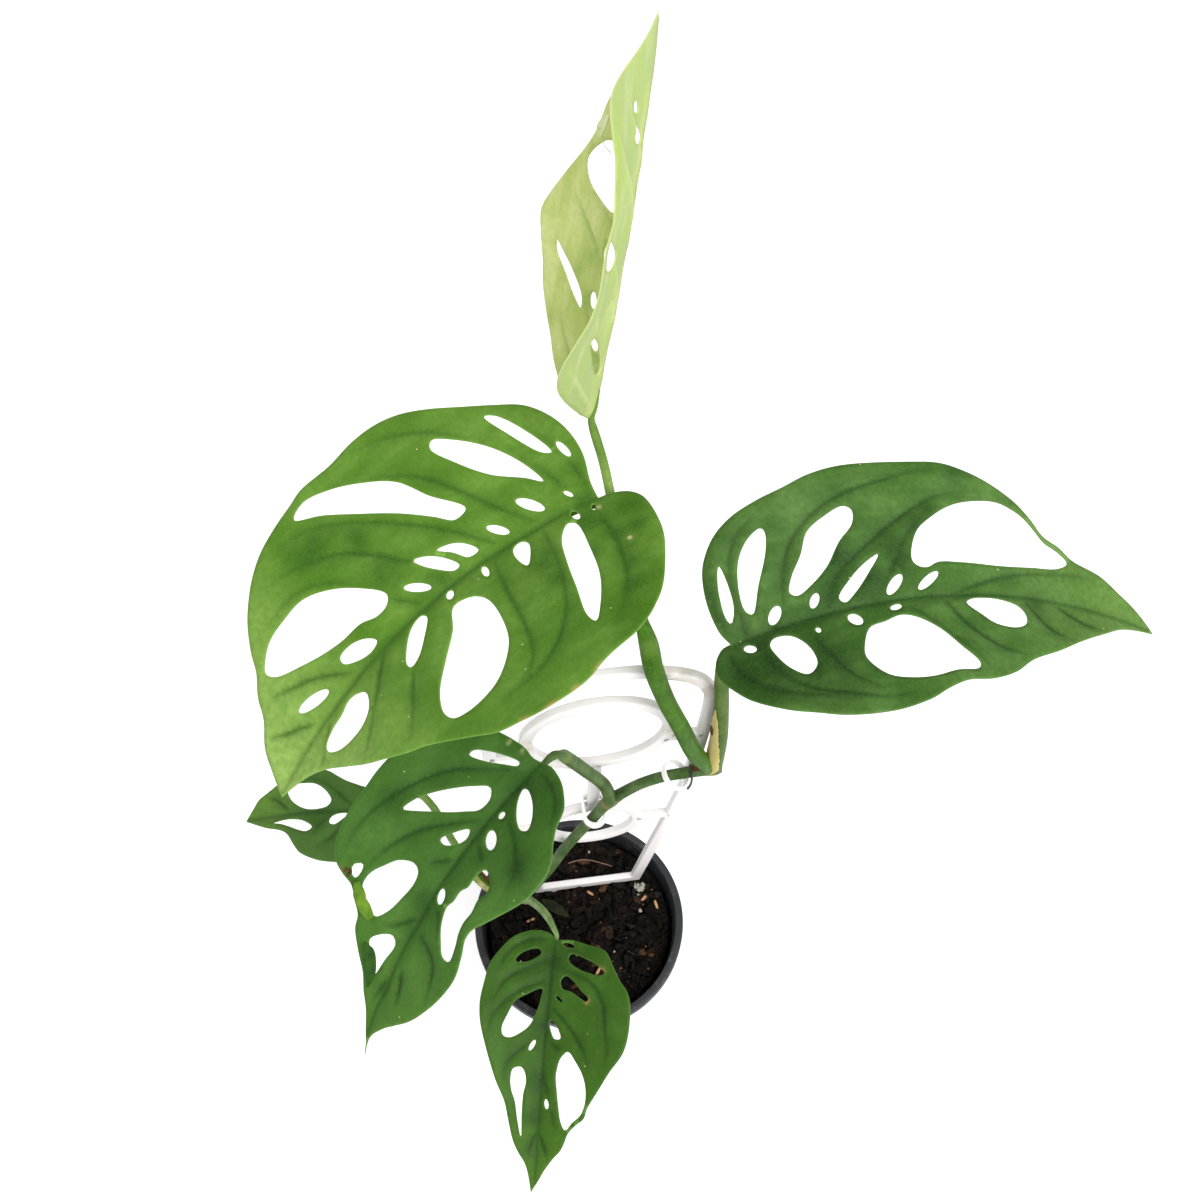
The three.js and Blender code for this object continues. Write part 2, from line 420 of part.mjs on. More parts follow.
// Points along the midrib and over the blade, clear of every edge.
function innerPoints(curves) {
  const { field, clear, midrib } = BLADE;
  const [outline, ...holes] = curves;
  const edges = curves.flat();
  const inside = (p) => insideCurve(outline, p) && !holes.some((h) => insideCurve(h, p))
    && edges.every((e) => e.distanceTo(p) > clear);
  const length = Math.max(...outline.map((p) => p.x));
  const found = [];
  for (let s = 3; s < length; s += midrib) {
    const p = new THREE.Vector2(s, 0);
    if (insideCurve(outline, p) && edges.every((e) => e.distanceTo(p) > 1.5)) found.push(p);
  }
  const start = Math.min(...outline.map((p) => p.x));
  const rowHeight = (field * Math.sqrt(3)) / 2;
  const rows = Math.ceil(Math.max(...outline.map((p) => Math.abs(p.y))) / rowHeight);
  const skew = 0.37; // keeps the rows off the exact places of listed corners
  for (let row = -rows; row <= rows; row++) {
    for (let s = start + (row % 2 ? field / 2 : 0); s < length; s += field) {
      const p = new THREE.Vector2(s + skew * row, row * rowHeight);
      if (row && inside(p) && found.every((q) => q.distanceTo(p) > clear)) found.push(p);
    }
  }
  return found;
}

function insideCurve(curve, p) {
  let odd = false;
  curve.forEach((a, i) => {
    const b = curve[(i + 1) % curve.length];
    if ((a.y > p.y) !== (b.y > p.y) && p.x < ((b.x - a.x) * (p.y - a.y)) / (b.y - a.y) + a.x) odd = !odd;
  });
  return odd;
}

// A blade with both faces split into the same triangles and a rim round every edge.
function blade(leaf) {
  const curves = bladeCurves(leaf);
  const { points, tris } = evenTriangles(curves, innerPoints(curves));
  const place = bladeSurface(leaf);
  const half = BLADE.thickness / 2;
  const vertices = [half, -half].flatMap((lift) => points.map((p) => place(p.x, p.y, lift)));
  const n = points.length;
  const index = [];
  const open = new Set();
  tris.forEach(([a, b, c]) => {
    index.push(a, b, c, n + a, n + c, n + b);
    [[a, b], [b, c], [c, a]].forEach(([v, w]) => {
      if (!open.delete(`${w},${v}`)) open.add(`${v},${w}`);
    });
  });
  open.forEach((side) => {
    const [a, b] = side.split(',').map(Number);
    index.push(b, a, n + a, b, n + a, n + b);
  });
  const g = new THREE.BufferGeometry();
  g.setAttribute('position', new THREE.Float32BufferAttribute(vertices.flatMap((v) => v.toArray()), 3));
  g.setIndex(index);
  return g;
}

// A whole leaf: its blade and petiole in one, with the petiole's root cut to sit against the vine.
function leafSolid(leaf, neighbours) {
  const place = bladeSurface(leaf);
  const under = STALK.under.map((s, i) => [...place(s, 0, -0.6 - 0.3 * i).toArray(), STALK.tip - 0.5 * i]);
  const stalk = [...leaf.petiole, ...under];
  const joined = solid(blade(leaf)).add(solid(rod(stalk, { step: STALK.step })));
  return neighbours.reduce((left, other) => left.subtract(other), joined);
}

// ---- pot, soil and trellis --------------------------------------------------------------------

function pot() {
  const { height, rimRadius: rim, baseRadius: base, wall, floor, lipHeight, lipStep, lipWidth } = POT;
  const shoulder = rim - lipStep; // outer radius of the wall just under the lip
  const profile = [
    [0, 0], [base - 1.5, 0], [base, 1.5], [shoulder, height - lipHeight - 1], [rim - 0.6, height - lipHeight],
    [rim, height - lipHeight + 1.5], [rim, height - 1.5], [rim - 1.2, height], [rim - lipWidth + 1.4, height],
    [rim - lipWidth, height - 1.5], [shoulder - wall, height - lipHeight - 3], [base - wall, floor + 1],
    [base - wall - 1, floor], [0, floor],
  ].map(([r, z]) => new THREE.Vector2(r, z));
  let body = solid(new THREE.LatheGeometry(profile, POT.sides).rotateX(Math.PI / 2));
  for (let i = 0; i < POT.drains; i++) {
    const a = (i / POT.drains) * 2 * Math.PI;
    const drill = new THREE.CylinderGeometry(POT.drainRadius, POT.drainRadius, 4 * floor, 12).rotateX(Math.PI / 2);
    drill.translate(POT.drainCircle * Math.cos(a), POT.drainCircle * Math.sin(a), 0);
    body = body.subtract(solid(drill));
  }
  return body;
}

// A small repeatable random number, 0 to 1.
function seeded(seed) {
  let state = seed;
  return () => {
    state = (state * 16807) % 2147483647;
    return state / 2147483647;
  };
}

// The bark mix: it fills the pot, its top is uneven, and larger chips of bark stand out of it.
function soil(cutters) {
  const { height, rimRadius, baseRadius, wall, floor, lipHeight, lipStep } = POT;
  const innerTop = rimRadius - lipStep - wall;
  const innerBase = baseRadius - wall;
  const taperTop = height - lipHeight - 3;
  const radiusAt = (z) => innerBase + ((innerTop - innerBase) * (z - floor)) / (taperTop - floor) - GAP - 0.15;
  const floorZ = floor + 1 + GAP;
  const bump = (x, y) => SOIL.bumps * (Math.sin(0.31 * x + 1.3) * Math.cos(0.27 * y) + 0.6 * Math.sin(0.53 * x - 0.47 * y));
  const shoulder = SOIL.level - SOIL.shoulder; // height of the mix where it meets the wall
  const radius = radiusAt(shoulder);
  const points = [new THREE.Vector3(0, 0, floorZ), new THREE.Vector3(0, 0, SOIL.level + bump(0, 0))];
  const rows = [{ r: radiusAt(floorZ), z: floorZ }, { r: radius, z: shoulder }];
  for (let k = SOIL.rings - 1; k > 0; k--) rows.push({ r: (radius * k) / SOIL.rings, z: null });
  rows.forEach(({ r, z }, k) => {
    for (let i = 0; i < SOIL.sides; i++) {
      const a = ((i + 0.5 * (k % 2)) / SOIL.sides) * 2 * Math.PI;
      const x = r * Math.cos(a);
      const y = r * Math.sin(a);
      points.push(new THREE.Vector3(x, y, z ?? SOIL.level + bump(x, y)));
    }
  });
  const index = [];
  const at = (row, i) => 2 + row * SOIL.sides + (i % SOIL.sides);
  for (let i = 0; i < SOIL.sides; i++) {
    index.push(0, at(0, i + 1), at(0, i), 1, at(rows.length - 1, i), at(rows.length - 1, i + 1));
    for (let k = 0; k + 1 < rows.length; k++) {
      const [a, b, c, d] = [at(k, i), at(k, i + 1), at(k + 1, i), at(k + 1, i + 1)];
      if (k % 2) index.push(a, b, c, b, d, c);
      else index.push(a, b, d, a, d, c);
    }
  }
  const g = new THREE.BufferGeometry().setFromPoints(points);
  g.setIndex(index);
  let mix = solid(g);
  const random = seeded(41);
  for (let i = 0; i < SOIL.chips; i++) {
    const a = 2 * Math.PI * random();
    const r = SOIL.chipReach * Math.sqrt(random());
    const chip = new THREE.BoxGeometry(...SOIL.chipSmall.map((size, k) => size + SOIL.chipExtra[k] * random()));
    const tilt = () => SOIL.chipTilt * (2 * random() - 1);
    chip.rotateX(tilt()).rotateY(tilt()).rotateZ(Math.PI * random());
    const [x, y] = [r * Math.cos(a), r * Math.sin(a)];
    chip.translate(x, y, SOIL.level + bump(x, y) + 0.2);
    mix = mix.add(solid(chip));
  }
  return cutters.reduce((left, cutter) => left.subtract(cutter), mix);
}

// The trellis panel's own frame: x along its width, y through it, z up, placed in the pot.
function trellisPlace(geometry) {
  const { foot, yaw, lean } = TRELLIS;
  return geometry.rotateY(THREE.MathUtils.degToRad(lean)).rotateZ(THREE.MathUtils.degToRad(yaw))
    .translate(foot.x, foot.y, foot.z);
}

const panelPoint = (w, n, h) => {
  const g = new THREE.BufferGeometry().setFromPoints([new THREE.Vector3(w, n, h)]);
  return new THREE.Vector3().fromBufferAttribute(trellisPlace(g).getAttribute('position'), 0);
};

// A flat shape drawn in (width, height) becomes a bar of the panel's depth.
function panelSlab(shape, depth = TRELLIS.depth) {
  const g = new THREE.ExtrudeGeometry(shape, { depth, bevelEnabled: false, curveSegments: 10 });
  return g.rotateX(Math.PI / 2).translate(0, depth / 2, 0);
}

function frameShape() {
  const side = new THREE.SplineCurve(FRAME_SIDE.slice(2).map(([w, h]) => new THREE.Vector2(w, h))).getPoints(16);
  const right = [...FRAME_SIDE.slice(0, 2).map(([w, h]) => new THREE.Vector2(w, h)), ...side];
  const loop = [...right, ...right.slice(0, -1).reverse().map((p) => new THREE.Vector2(-p.x, p.y))];
  const offset = (d) => loop.map((p, i) => {
    const before = loop[(i + loop.length - 1) % loop.length];
    const after = loop[(i + 1) % loop.length];
    const inward = p.clone().sub(before).normalize();
    const onward = after.clone().sub(p).normalize();
    const bisector = inward.clone().add(onward).normalize();
    const reach = d / bisector.dot(onward);
    return new THREE.Vector2(p.x + bisector.y * reach, p.y - bisector.x * reach);
  });
  const shape = new THREE.Shape(offset(TRELLIS.bar / 2));
  shape.holes.push(new THREE.Path(offset(-TRELLIS.bar / 2)));
  return shape;
}

function ringShape({ h, r }) {
  const shape = new THREE.Shape().absarc(0, h, r + TRELLIS.bar / 2, 0, 2 * Math.PI);
  shape.holes.push(new THREE.Path().absarc(0, h, r - TRELLIS.bar / 2, 0, 2 * Math.PI));
  return shape;
}

function halfWidthAt(h) {
  const k = FRAME_SIDE.findIndex(([, height]) => height > h);
  const [[w0, h0], [w1, h1]] = [FRAME_SIDE[k - 1], FRAME_SIDE[k]];
  return w0 + ((w1 - w0) * (h - h0)) / (h1 - h0);
}

function trellis() {
  const { bar, lowRing, highRing, lowRung, highRung, rung, legs, legLength, legWidth, legPoint, legDepth } = TRELLIS;
  const strip = (w0, w1, h0, h1) => {
    const corners = [[w0, h0], [w1, h0], [w1, h1], [w0, h1]].map(([w, h]) => new THREE.Vector2(w, h));
    return solid(panelSlab(new THREE.Shape(corners)));
  };
  let panel = solid(panelSlab(frameShape())).add(solid(panelSlab(ringShape(lowRing))))
    .add(solid(panelSlab(ringShape(highRing))))
    .add(strip(-bar / 2, bar / 2, lowRing.h + lowRing.r, highRing.h - highRing.r));
  [[lowRing, lowRung], [highRing, highRung]].forEach(([ringAt, h]) => {
    const inner = Math.sqrt(ringAt.r ** 2 - (h - ringAt.h) ** 2);
    const outer = halfWidthAt(h);
    [-1, 1].forEach((side) => {
      const [from, to] = [side * inner, side * outer].sort((a, b) => a - b);
      panel = panel.add(strip(from, to, h - rung / 2, h + rung / 2));
    });
  });
  legs.forEach((w) => {
    const spike = new THREE.Shape([
      new THREE.Vector2(w - legWidth / 2, 0), new THREE.Vector2(w - legPoint / 2, -legLength),
      new THREE.Vector2(w + legPoint / 2, -legLength), new THREE.Vector2(w + legWidth / 2, 0),
    ]);
    panel = panel.add(solid(panelSlab(spike, legDepth)));
  });
  return solid(trellisPlace(toGeometry(panel)));
}

// Room in the soil for the trellis: a plain hole for each leg and a slot under the foot bar.
function trellisRoom() {
  const { legs, legLength, legWidth, depth, bar } = TRELLIS;
  const room = (width, thickness, bottom, w) => {
    const box = new THREE.BoxGeometry(width, thickness, bar - bottom).translate(w, 0, (bottom + bar) / 2);
    return solid(trellisPlace(box));
  };
  const footWidth = 2 * FRAME_SIDE[0][0] + bar + 8;
  return [
    ...legs.map((w) => room(legWidth + 2 * GAP, depth + 2 * GAP, -legLength - GAP, w)),
    room(footWidth, depth + 2 * GAP, -bar / 2 - GAP, 0),
  ];
}

// ---- what ties the vine to the trellis ----------------------------------------------------------

// The strap round the centre post and the vine: a flat loop, round in front and square behind.
function strapClip() {
  const { height, wall, halfWidth, front, back, w, h } = STRAP;
  const loop = (grow) => {
    const shape = new THREE.Shape();
    shape.moveTo(-halfWidth - grow, back + grow);
    shape.lineTo(-halfWidth - grow, front);
    shape.absarc(0, front, halfWidth + grow, Math.PI, 2 * Math.PI);
    shape.lineTo(halfWidth + grow, back + grow);
    return shape;
  };
  const shape = loop(wall);
  shape.holes.push(loop(0));
  const g = new THREE.ExtrudeGeometry(shape, { depth: height, bevelEnabled: false, curveSegments: 14 });
  return trellisPlace(g.translate(w, 0, h));
}

// The hoop clip: a flat hoop lying slantwise round the vine, its left side over it and its right side
// under it, with its body against the front of the post.
function hoopClip() {
  const { w, n, h, radius, slant, wall, height, sides, body } = HOOP;
  const corners = [[-1, -1], [1, -1], [1, 1], [-1, 1], [-1, -1]];
  const section = corners.map(([x, y]) => new THREE.Vector2(radius + (x * wall) / 2, (y * height) / 2));
  const ring = new THREE.LatheGeometry(section, sides).rotateX(Math.PI / 2)
    .rotateY(THREE.MathUtils.degToRad(slant)).translate(w, n, h);
  const block = new THREE.BoxGeometry(body.width, body.depth, body.height).translate(body.w, body.n, body.h);
  return solid(trellisPlace(ring)).add(solid(trellisPlace(block)));
}

// A twist of black wire over the vine with one end hanging down in front.
function tieWire() {
  const { w, n, h, radius, wire, tail, from, to, turn } = TIE;
  const stations = [];
  for (let a = from; a <= to; a += turn) {
    const angle = THREE.MathUtils.degToRad(a);
    stations.push([w, n + radius * Math.cos(angle), h + radius * Math.sin(angle)]);
  }
  stations.push([w, n - radius - 0.2, h - tail / 2], [w - 0.8, n - radius + 0.1, h - tail]);
  const placed = stations.map((p) => [...panelPoint(...p).toArray(), wire]);
  return rod(placed, { sides: 6, step: 1.6 });
}

// ---- the object -----------------------------------------------------------------------------------

const group = new THREE.Group();

function add(name, shape, color, roughness, metalness = 0) {
  const geometry = closed(shape instanceof THREE.BufferGeometry ? shape : toGeometry(shape));
  const mesh = new THREE.Mesh(geometry, new THREE.MeshStandardMaterial({ color, roughness, metalness }));
  mesh.name = name;
  group.add(mesh);
}

const vine = solid(rod(VINE, { step: 5 }));
const vineClear = solid(rod(VINE, { step: 5, grow: GAP, sides: 14 }));

add('pot', pot(), 0x2d2f34, 0.55);
add('soil', soil([vineClear, ...trellisRoom()]), 0x1e1712, 0.95);
add('trellis', trellis(), 0xf2eeec, 0.4);
add('vine_stem', vine, 0x5c7f4c, 0.5);
add('strap_clip', strapClip(), 0xf4f4f2, 0.35);
add('hoop_clip', hoopClip(), 0xf4f4f2, 0.35);
add('tie_wire', tieWire(), 0x16161a, 0.5);

const cleared = [vineClear];
['leaf_big_left', 'leaf_top_new', 'leaf_right', 'leaf_middle', 'leaf_front', 'leaf_left_low'].forEach((name) => {
  const leaf = LEAVES[name];
  add(name, leafSolid(leaf, cleared), leaf.color, 0.45);
  cleared.push(solid(rod(leaf.petiole, { grow: GAP, sides: STALK.sides + 2, step: STALK.step })));
});

export default group;
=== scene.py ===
import math
import random
from types import SimpleNamespace as Table

import bpy
import numpy as np
from mathutils import Matrix, Vector, noise
from mathutils.geometry import delaunay_2d_cdt
from mathutils.kdtree import KDTree


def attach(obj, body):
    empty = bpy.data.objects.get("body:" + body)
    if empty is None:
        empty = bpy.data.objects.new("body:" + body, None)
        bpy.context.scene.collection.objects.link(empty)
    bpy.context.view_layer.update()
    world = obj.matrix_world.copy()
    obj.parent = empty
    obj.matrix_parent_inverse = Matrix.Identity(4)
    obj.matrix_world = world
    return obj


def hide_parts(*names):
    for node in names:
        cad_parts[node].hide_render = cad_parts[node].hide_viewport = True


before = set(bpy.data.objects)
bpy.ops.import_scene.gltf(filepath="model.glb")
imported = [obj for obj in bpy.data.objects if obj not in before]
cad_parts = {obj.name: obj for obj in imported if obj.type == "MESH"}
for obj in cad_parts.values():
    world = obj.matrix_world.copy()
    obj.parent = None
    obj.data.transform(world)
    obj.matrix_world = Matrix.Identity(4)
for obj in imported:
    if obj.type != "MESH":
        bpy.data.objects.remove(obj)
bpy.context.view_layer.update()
# Without a seed, noise.noise_vector would differ from run to run.
SEEDS = Table(noise=7, bark=7, scraps=3)
noise.seed_set(SEEDS.noise)
MM = 0.001
FULL_TURN = 2 * math.pi

# ---- camera, light and floor ----

CAMERA = Table(place=(0.0131, -0.208, 0.892), tilt=29.3, lens=37.5, sensor=36, near=0.01)
# The lamps' places and sizes in metres and their power in watts; the even light of the room.
LAMPS = {"key": ((0.9, -1.1, 1.8), 2.0, 46), "fill": ((-1.0, 0.5, 1.6), 1.4, 8)}
LAMP_TARGET = Vector((0, 0, 0.3))
ROOM_LIGHT = 0.7
FLOOR = Table(half=30000, gray=0.93, glow=0.25)


def put(name, data):
    """A new object of the scene."""
    made = bpy.data.objects.new(name, data)
    bpy.context.scene.collection.objects.link(made)
    return made


def make_camera():
    data = bpy.data.cameras.new("camera")
    data.lens, data.sensor_width, data.clip_start = CAMERA.lens, CAMERA.sensor, CAMERA.near
    camera = put("camera", data)
    camera.location = CAMERA.place
    camera.rotation_euler = (math.radians(CAMERA.tilt), 0, 0)
    bpy.context.scene.camera = camera


def make_studio():
    world = bpy.data.worlds.new("studio")
    world.use_nodes = True
    sky = world.node_tree.nodes["Background"]
    sky.inputs["Color"].default_value = (1, 1, 1, 1)
    sky.inputs["Strength"].default_value = ROOM_LIGHT
    bpy.context.scene.world = world
    bpy.context.scene.view_settings.view_transform = "Standard"
    bpy.context.scene.view_settings.look = "None"
    for name, (place, size, power) in LAMPS.items():
        data = bpy.data.lights.new(name, "AREA")
        data.shape, data.size, data.energy = "DISK", size, power
        lamp = put(name, data)
        lamp.location = place
        lamp.rotation_euler = (LAMP_TARGET - Vector(place)).to_track_quat("-Z", "Y").to_euler()
    h = FLOOR.half
    corners = [(-h, -h, 0), (h, -h, 0), (h, h, 0), (-h, h, 0)]
    floor = put("floor", new_mesh("floor", corners, [(0, 1, 2, 3)]))
    paper = Material("floor_paper", (FLOOR.gray, FLOOR.gray, FLOOR.gray, 1))
    paper.set("Emission Color", (1, 1, 1, 1))
    paper.set("Emission Strength", FLOOR.glow)
    floor.data.materials.append(paper.finish(1.0, 0.0))


# ---- materials ----

# The light makes a plain surface this much brighter than white, and its sheen adds a little.
LIGHT_GAIN, SHEEN = 1.35, 0.009


def linear(rgb):
    """A display colour of 0 to 255 as the shader's linear colour."""
    parts = [c / 255 for c in rgb]
    return tuple(c / 12.92 if c <= 0.04045 else ((c + 0.055) / 1.055) ** 2.4 for c in parts) + (1,)


def paint(rgb):
    """The colour that a plant needs to look like rgb under this light."""
    return tuple(max(c / LIGHT_GAIN - SHEEN, 0.003) for c in linear(rgb)[:3]) + (1,)


class Material:
    """A Principled material on whose colour more is laid, layer by layer."""

    def __init__(self, name, color):
        self.color = color
        self.material = bpy.data.materials.new(name)
        self.material.use_nodes = True
        self.tree = self.material.node_tree
        self.shader = self.tree.nodes["Principled BSDF"]
        self.coords = self.node("TexCoord").outputs["Object"]

    def feed(self, socket, value):
        """Gives an input a value of its own or the output of another node."""
        if isinstance(value, bpy.types.NodeSocket):
            self.tree.links.new(value, socket)
        else:
            socket.default_value = value

    def set(self, socket, value):
        self.feed(self.shader.inputs[socket], value)

    def node(self, kind, **inputs):
        made = self.tree.nodes.new("ShaderNode" + kind)
        for key, value in inputs.items():
            self.feed(made.inputs[key.replace("_", " ")], value)
        return made

    def attribute(self, name):
        made = self.node("Attribute")
        made.attribute_name = name
        return made.outputs["Fac"]

    def math(self, operation, a, b):
        made = self.node("Math")
        made.operation = operation
        self.feed(made.inputs[0], a)
        self.feed(made.inputs[1], b)
        return made.outputs["Value"]

    def times(self, a, b):
        return self.math("MULTIPLY", a, b)

    def range(self, value, low, high, to_low=0.0, to_high=1.0):
        limits = {"From_Min": low, "From_Max": high, "To_Min": to_low, "To_Max": to_high}
        return self.node("MapRange", Value=value, **limits).outputs["Result"]

    def mix(self, share, a, b):
        """Colour a, going over to colour b as share goes from 0 to 1."""
        made = self.node("Mix")
        made.data_type = "RGBA"
        for index, value in ((0, share), (6, a), (7, b)):
            self.feed(made.inputs[index], value)
        return made.outputs[2]

    def noise(self, scale, detail, stretch=None):
        """Noise over the object's coordinates in metres, stretched along each axis."""
        place = self.coords
        if stretch:
            place = self.node("Mapping", Vector=place, Scale=stretch).outputs["Vector"]
        return self.node("TexNoise", Scale=scale, Detail=detail, Vector=place).outputs["Fac"]

    def blade_noise(self, along, across, detail):
        """Noise laid out on a blade: its scale along and across the midrib, per millimetre."""
        s, t = self.times(self.attribute("s"), along), self.times(self.attribute("t"), across)
        laid = self.node("CombineXYZ", X=s, Y=t).outputs["Vector"]
        return self.node("TexNoise", Scale=1.0, Detail=detail, Vector=laid).outputs["Fac"]

    def patches(self, noise_, low, high, to_low=0.0, to_high=1.0):
        """Noise of (scale, detail, stretch) as a share: to_low where it is low, to_high where high."""
        return self.range(self.noise(*noise_), low, high, to_low, to_high)

    def over(self, share, color):
        """Lays a share of a colour over the colour so far."""
        self.color = self.mix(share, self.color, color)

    def layer(self, color, noise_, low, high, most=1.0):
        """Lays a colour over the colour so far in patches of noise."""
        self.over(self.patches(noise_, low, high, 0, most), color)

    def finish(self, rough, sheen, relief=None, strength=0.0, depth=0.0):
        """Links colour, roughness and specular level, and a bump of depth metres with noise for relief."""
        self.set("Base Color", self.color)
        self.set("Roughness", rough)
        self.set("Specular IOR Level", sheen)
        if relief:
            made = self.node("Bump", Strength=strength, Distance=depth, Height=self.noise(*relief))
            self.set("Normal", made.outputs["Normal"])
        return self.material


def plain(name, first, second, noise_, rough):
    """A material between two colours."""
    m = Material(name, linear(first))
    m.over(m.noise(*noise_), linear(second))
    return m.finish(rough, 0.5)


def two_tone(name, first, second, scale, stretch=None):
    """A dry plant material between two colours, with darker flecks of the first."""
    m = Material(name, paint(first))
    m.layer(paint(second), (scale, 4, stretch), 0.35, 0.65)
    m.layer(paint([0.6 * c for c in first]), (3 * scale, 3), 0.55, 0.75, 0.4)
    return m.finish(0.7, 0.2, (2 * scale, 3), 0.3, 0.0004)


# ---- meshes ----


def new_mesh(name, points_mm, faces):
    mesh = bpy.data.meshes.new(name)
    mesh.from_pydata((np.asarray(points_mm, float) * MM).tolist(), [], [tuple(map(int, f)) for f in faces])
    return mesh


def add_piece(name, shape, material, replaces, sharp=None, **attributes):
    """A smooth piece of the object from (points in millimetres, faces), riding on the part.

    It keeps edges sharper than `sharp` degrees. Attributes are numbers for each point, for its material.
    """
    mesh = new_mesh(name, *shape)
    mesh.polygons.foreach_set("use_smooth", [True] * len(mesh.polygons))
    for key, values in attributes.items():
        mesh.attributes.new(key, "FLOAT", "POINT").data.foreach_set("value", np.asarray(values, np.float32))
    mesh.materials.append(material)
    mesh.validate()
    piece = put(name, mesh)
    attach(piece, "root")
    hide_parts(replaces)
    if sharp:
        mesh.set_sharp_from_angle(angle=math.radians(sharp))


def spline(points, closed=False, even=False):
    """Dense points along a Catmull-Rom curve: centripetal if closed or even, otherwise uniform."""
    p = np.asarray(points, float)
    n = len(p)
    centripetal = closed or even
    found = []
    steps = np.linspace(0, 1, 13)[:-1, None]
    for i in range(n if closed else n - 1):
        if closed:
            a, b, c, d = (p[(i + k) % n] for k in (-1, 0, 1, 2))
        else:
            b, c = p[i], p[i + 1]
            a = p[i - 1] if i else (2 * b - c if centripetal else b)
            d = p[i + 2] if i + 2 < n else (2 * c - b if centripetal else c)
        into, out = (c - a) / 2, (d - b) / 2
        if centripetal:
            u, v, w = (max(float(np.sum(way**2)) ** 0.25, 1e-4) for way in (b - a, c - b, d - c))
            into = ((b - a) / u - (c - a) / (u + v) + (c - b) / v) * v
            out = ((c - b) / v - (d - b) / (v + w) + (d - c) / w) * v
        cubic = 2 * b - 2 * c + into + out
        square = -3 * b + 3 * c - 2 * into - out
        found.append(((cubic * steps + square) * steps + into) * steps + b)
    if not closed:
        found.append(p[-1:])
    return np.vstack(found)


def resample(points, spacing, closed=False):
    """The same path in equal steps of about the spacing; a closed path doesn't repeat its start."""
    p = np.vstack([points, points[:1]]) if closed else points
    along = np.concatenate([[0], np.cumsum(np.linalg.norm(np.diff(p, axis=0), axis=1))])
    count = max(6 if closed else 1, round(along[-1] / spacing))
    at = np.linspace(0, along[-1], count + 1)
    made = np.stack([np.interp(at, along, p[:, k]) for k in range(p.shape[1])], axis=1)
    return made[:-1] if closed else made


def unit(vectors):
    return vectors / np.linalg.norm(vectors, axis=-1, keepdims=True)


def turns(sides):
    """The angles at equal steps round a circle."""
    return [FULL_TURN * i / sides for i in range(sides)]


def bands(rings, sides, first=0, closed=False):
    """The quads between rings of points that follow one another, from the point with the number first."""
    faces = []
    for k in range(rings if closed else rings - 1):
        a, b = first + k * sides, first + (k + 1) % rings * sides
        faces += [(a + i, a + (i + 1) % sides, b + (i + 1) % sides, b + i) for i in range(sides)]
    return faces


def both_sides(top, n):
    """The faces of a closed sheet: the upper ones, the same turned over n points later, and its rim."""
    free = {}
    for face in top:
        for a, b in zip(face, face[1:] + face[:1]):
            if free.pop((b, a), None) is None:
                free[a, b] = True
    below = [tuple(n + i for i in face[::-1]) for face in top]
    return top + below + [(b, a, n + a, n + b) for a, b in free]


def merged(parts):
    """Several (points, faces) as one."""
    points, faces, start = [], [], 0
    for p, f in parts:
        points.append(np.asarray(p, float))
        faces.extend(tuple(i + start for i in face) for face in f)
        start += len(p)
    return np.vstack(points), faces


def tube(stations, spacing=1.5, sides=20, ridges=0, ridge_height=0.0):
    """A round tube along [x, y, z, radius] stations, with closed ends: (points, faces), distance along."""
    path = resample(spline(stations, even=True), spacing)
    centres, radii = path[:, :3], path[:, 3]
    ahead = unit(np.gradient(centres, axis=0))
    side = np.cross(ahead[0], (0.3, 0.9, 0.1))
    points, along, length = [], [], 0.0
    for k, (centre, way) in enumerate(zip(centres, ahead)):
        side = unit(side - way * side.dot(way))
        other = np.cross(way, side)
        length += float(np.linalg.norm(centre - centres[k - 1])) if k else 0.0
        for a in turns(sides):
            r = radii[k] * (1 + ridge_height * math.cos(ridges * a))
            points.append(centre + r * (side * math.cos(a) + other * math.sin(a)))
        along += [length] * sides
    faces = bands(len(centres), sides)
    for k, turn in ((0, -1), (len(centres) - 1, 1)):
        points.append(centres[k] + ahead[k] * turn * radii[k] * 0.35)
        along.append(along[k * sides])
        ring = [(k * sides + i, k * sides + (i + 1) % sides) for i in range(sides)]
        faces += [(len(points) - 1, *pair[::turn]) for pair in ring]
    return (points, faces), np.array(along)


# ---- driving dimensions, as in the part ----

POT = Table(
    height=115, rim=65, base=47.5, wall=2.2, floor=2.5, lip=9, step=3.2, hub=1,
    drain_radius=4, drain_circle=31, drains=6, sides=120, drain_sides=28,
)
SOIL_LEVEL = 104
BED = Table(top_radius=57.6, foot_radius=44.9, floor=3.8, shoulder=100.5, sides=96, rings=34)
CHIPS = ((130, 760), 54.5)
FLECKS = ((10, 70), 52)
TRELLIS = Table(
    foot=(5, 25.5, 108.5), yaw=8, lean=1.7, bar=6.5, depth=4.4, rung=5.2,
    low_ring=(113.5, 25.4), high_ring=(236, 34.5), ring_sides=120, rungs=(114, 224),
    leg=48, leg_width=5, leg_depth=3.8, leg_side=22, leg_taper=0.4,
)
# One side of the panel's outline (across, up), from the bottom to the middle of its top.
FRAME_SIDE = [
    (31, 0), (44, 107), (50, 162), (51.8, 221), (52, 260), (48.5, 277), (39, 289), (20, 297.5), (0, 299),
]
# The clips and the tie on the panel: w across, n through and h up.
STRAP = Table(w=-0.1, h=142.1, height=6, wall=1.6, half_width=4.7, front=-7.9, back=2.5, soft=0.25)
HOOP = Table(
    place=(39.7, -7.9, 191.2), radius=7.45, slant=36, wall=1, height=3.2, sides=72,
    body=(48.5, -5.1, 183, 8, 5.2, 10),
)
TIE = Table(place=(47.4, -8.1, 192.3), radius=4, wire=0.6, tail=12, end=1.25)
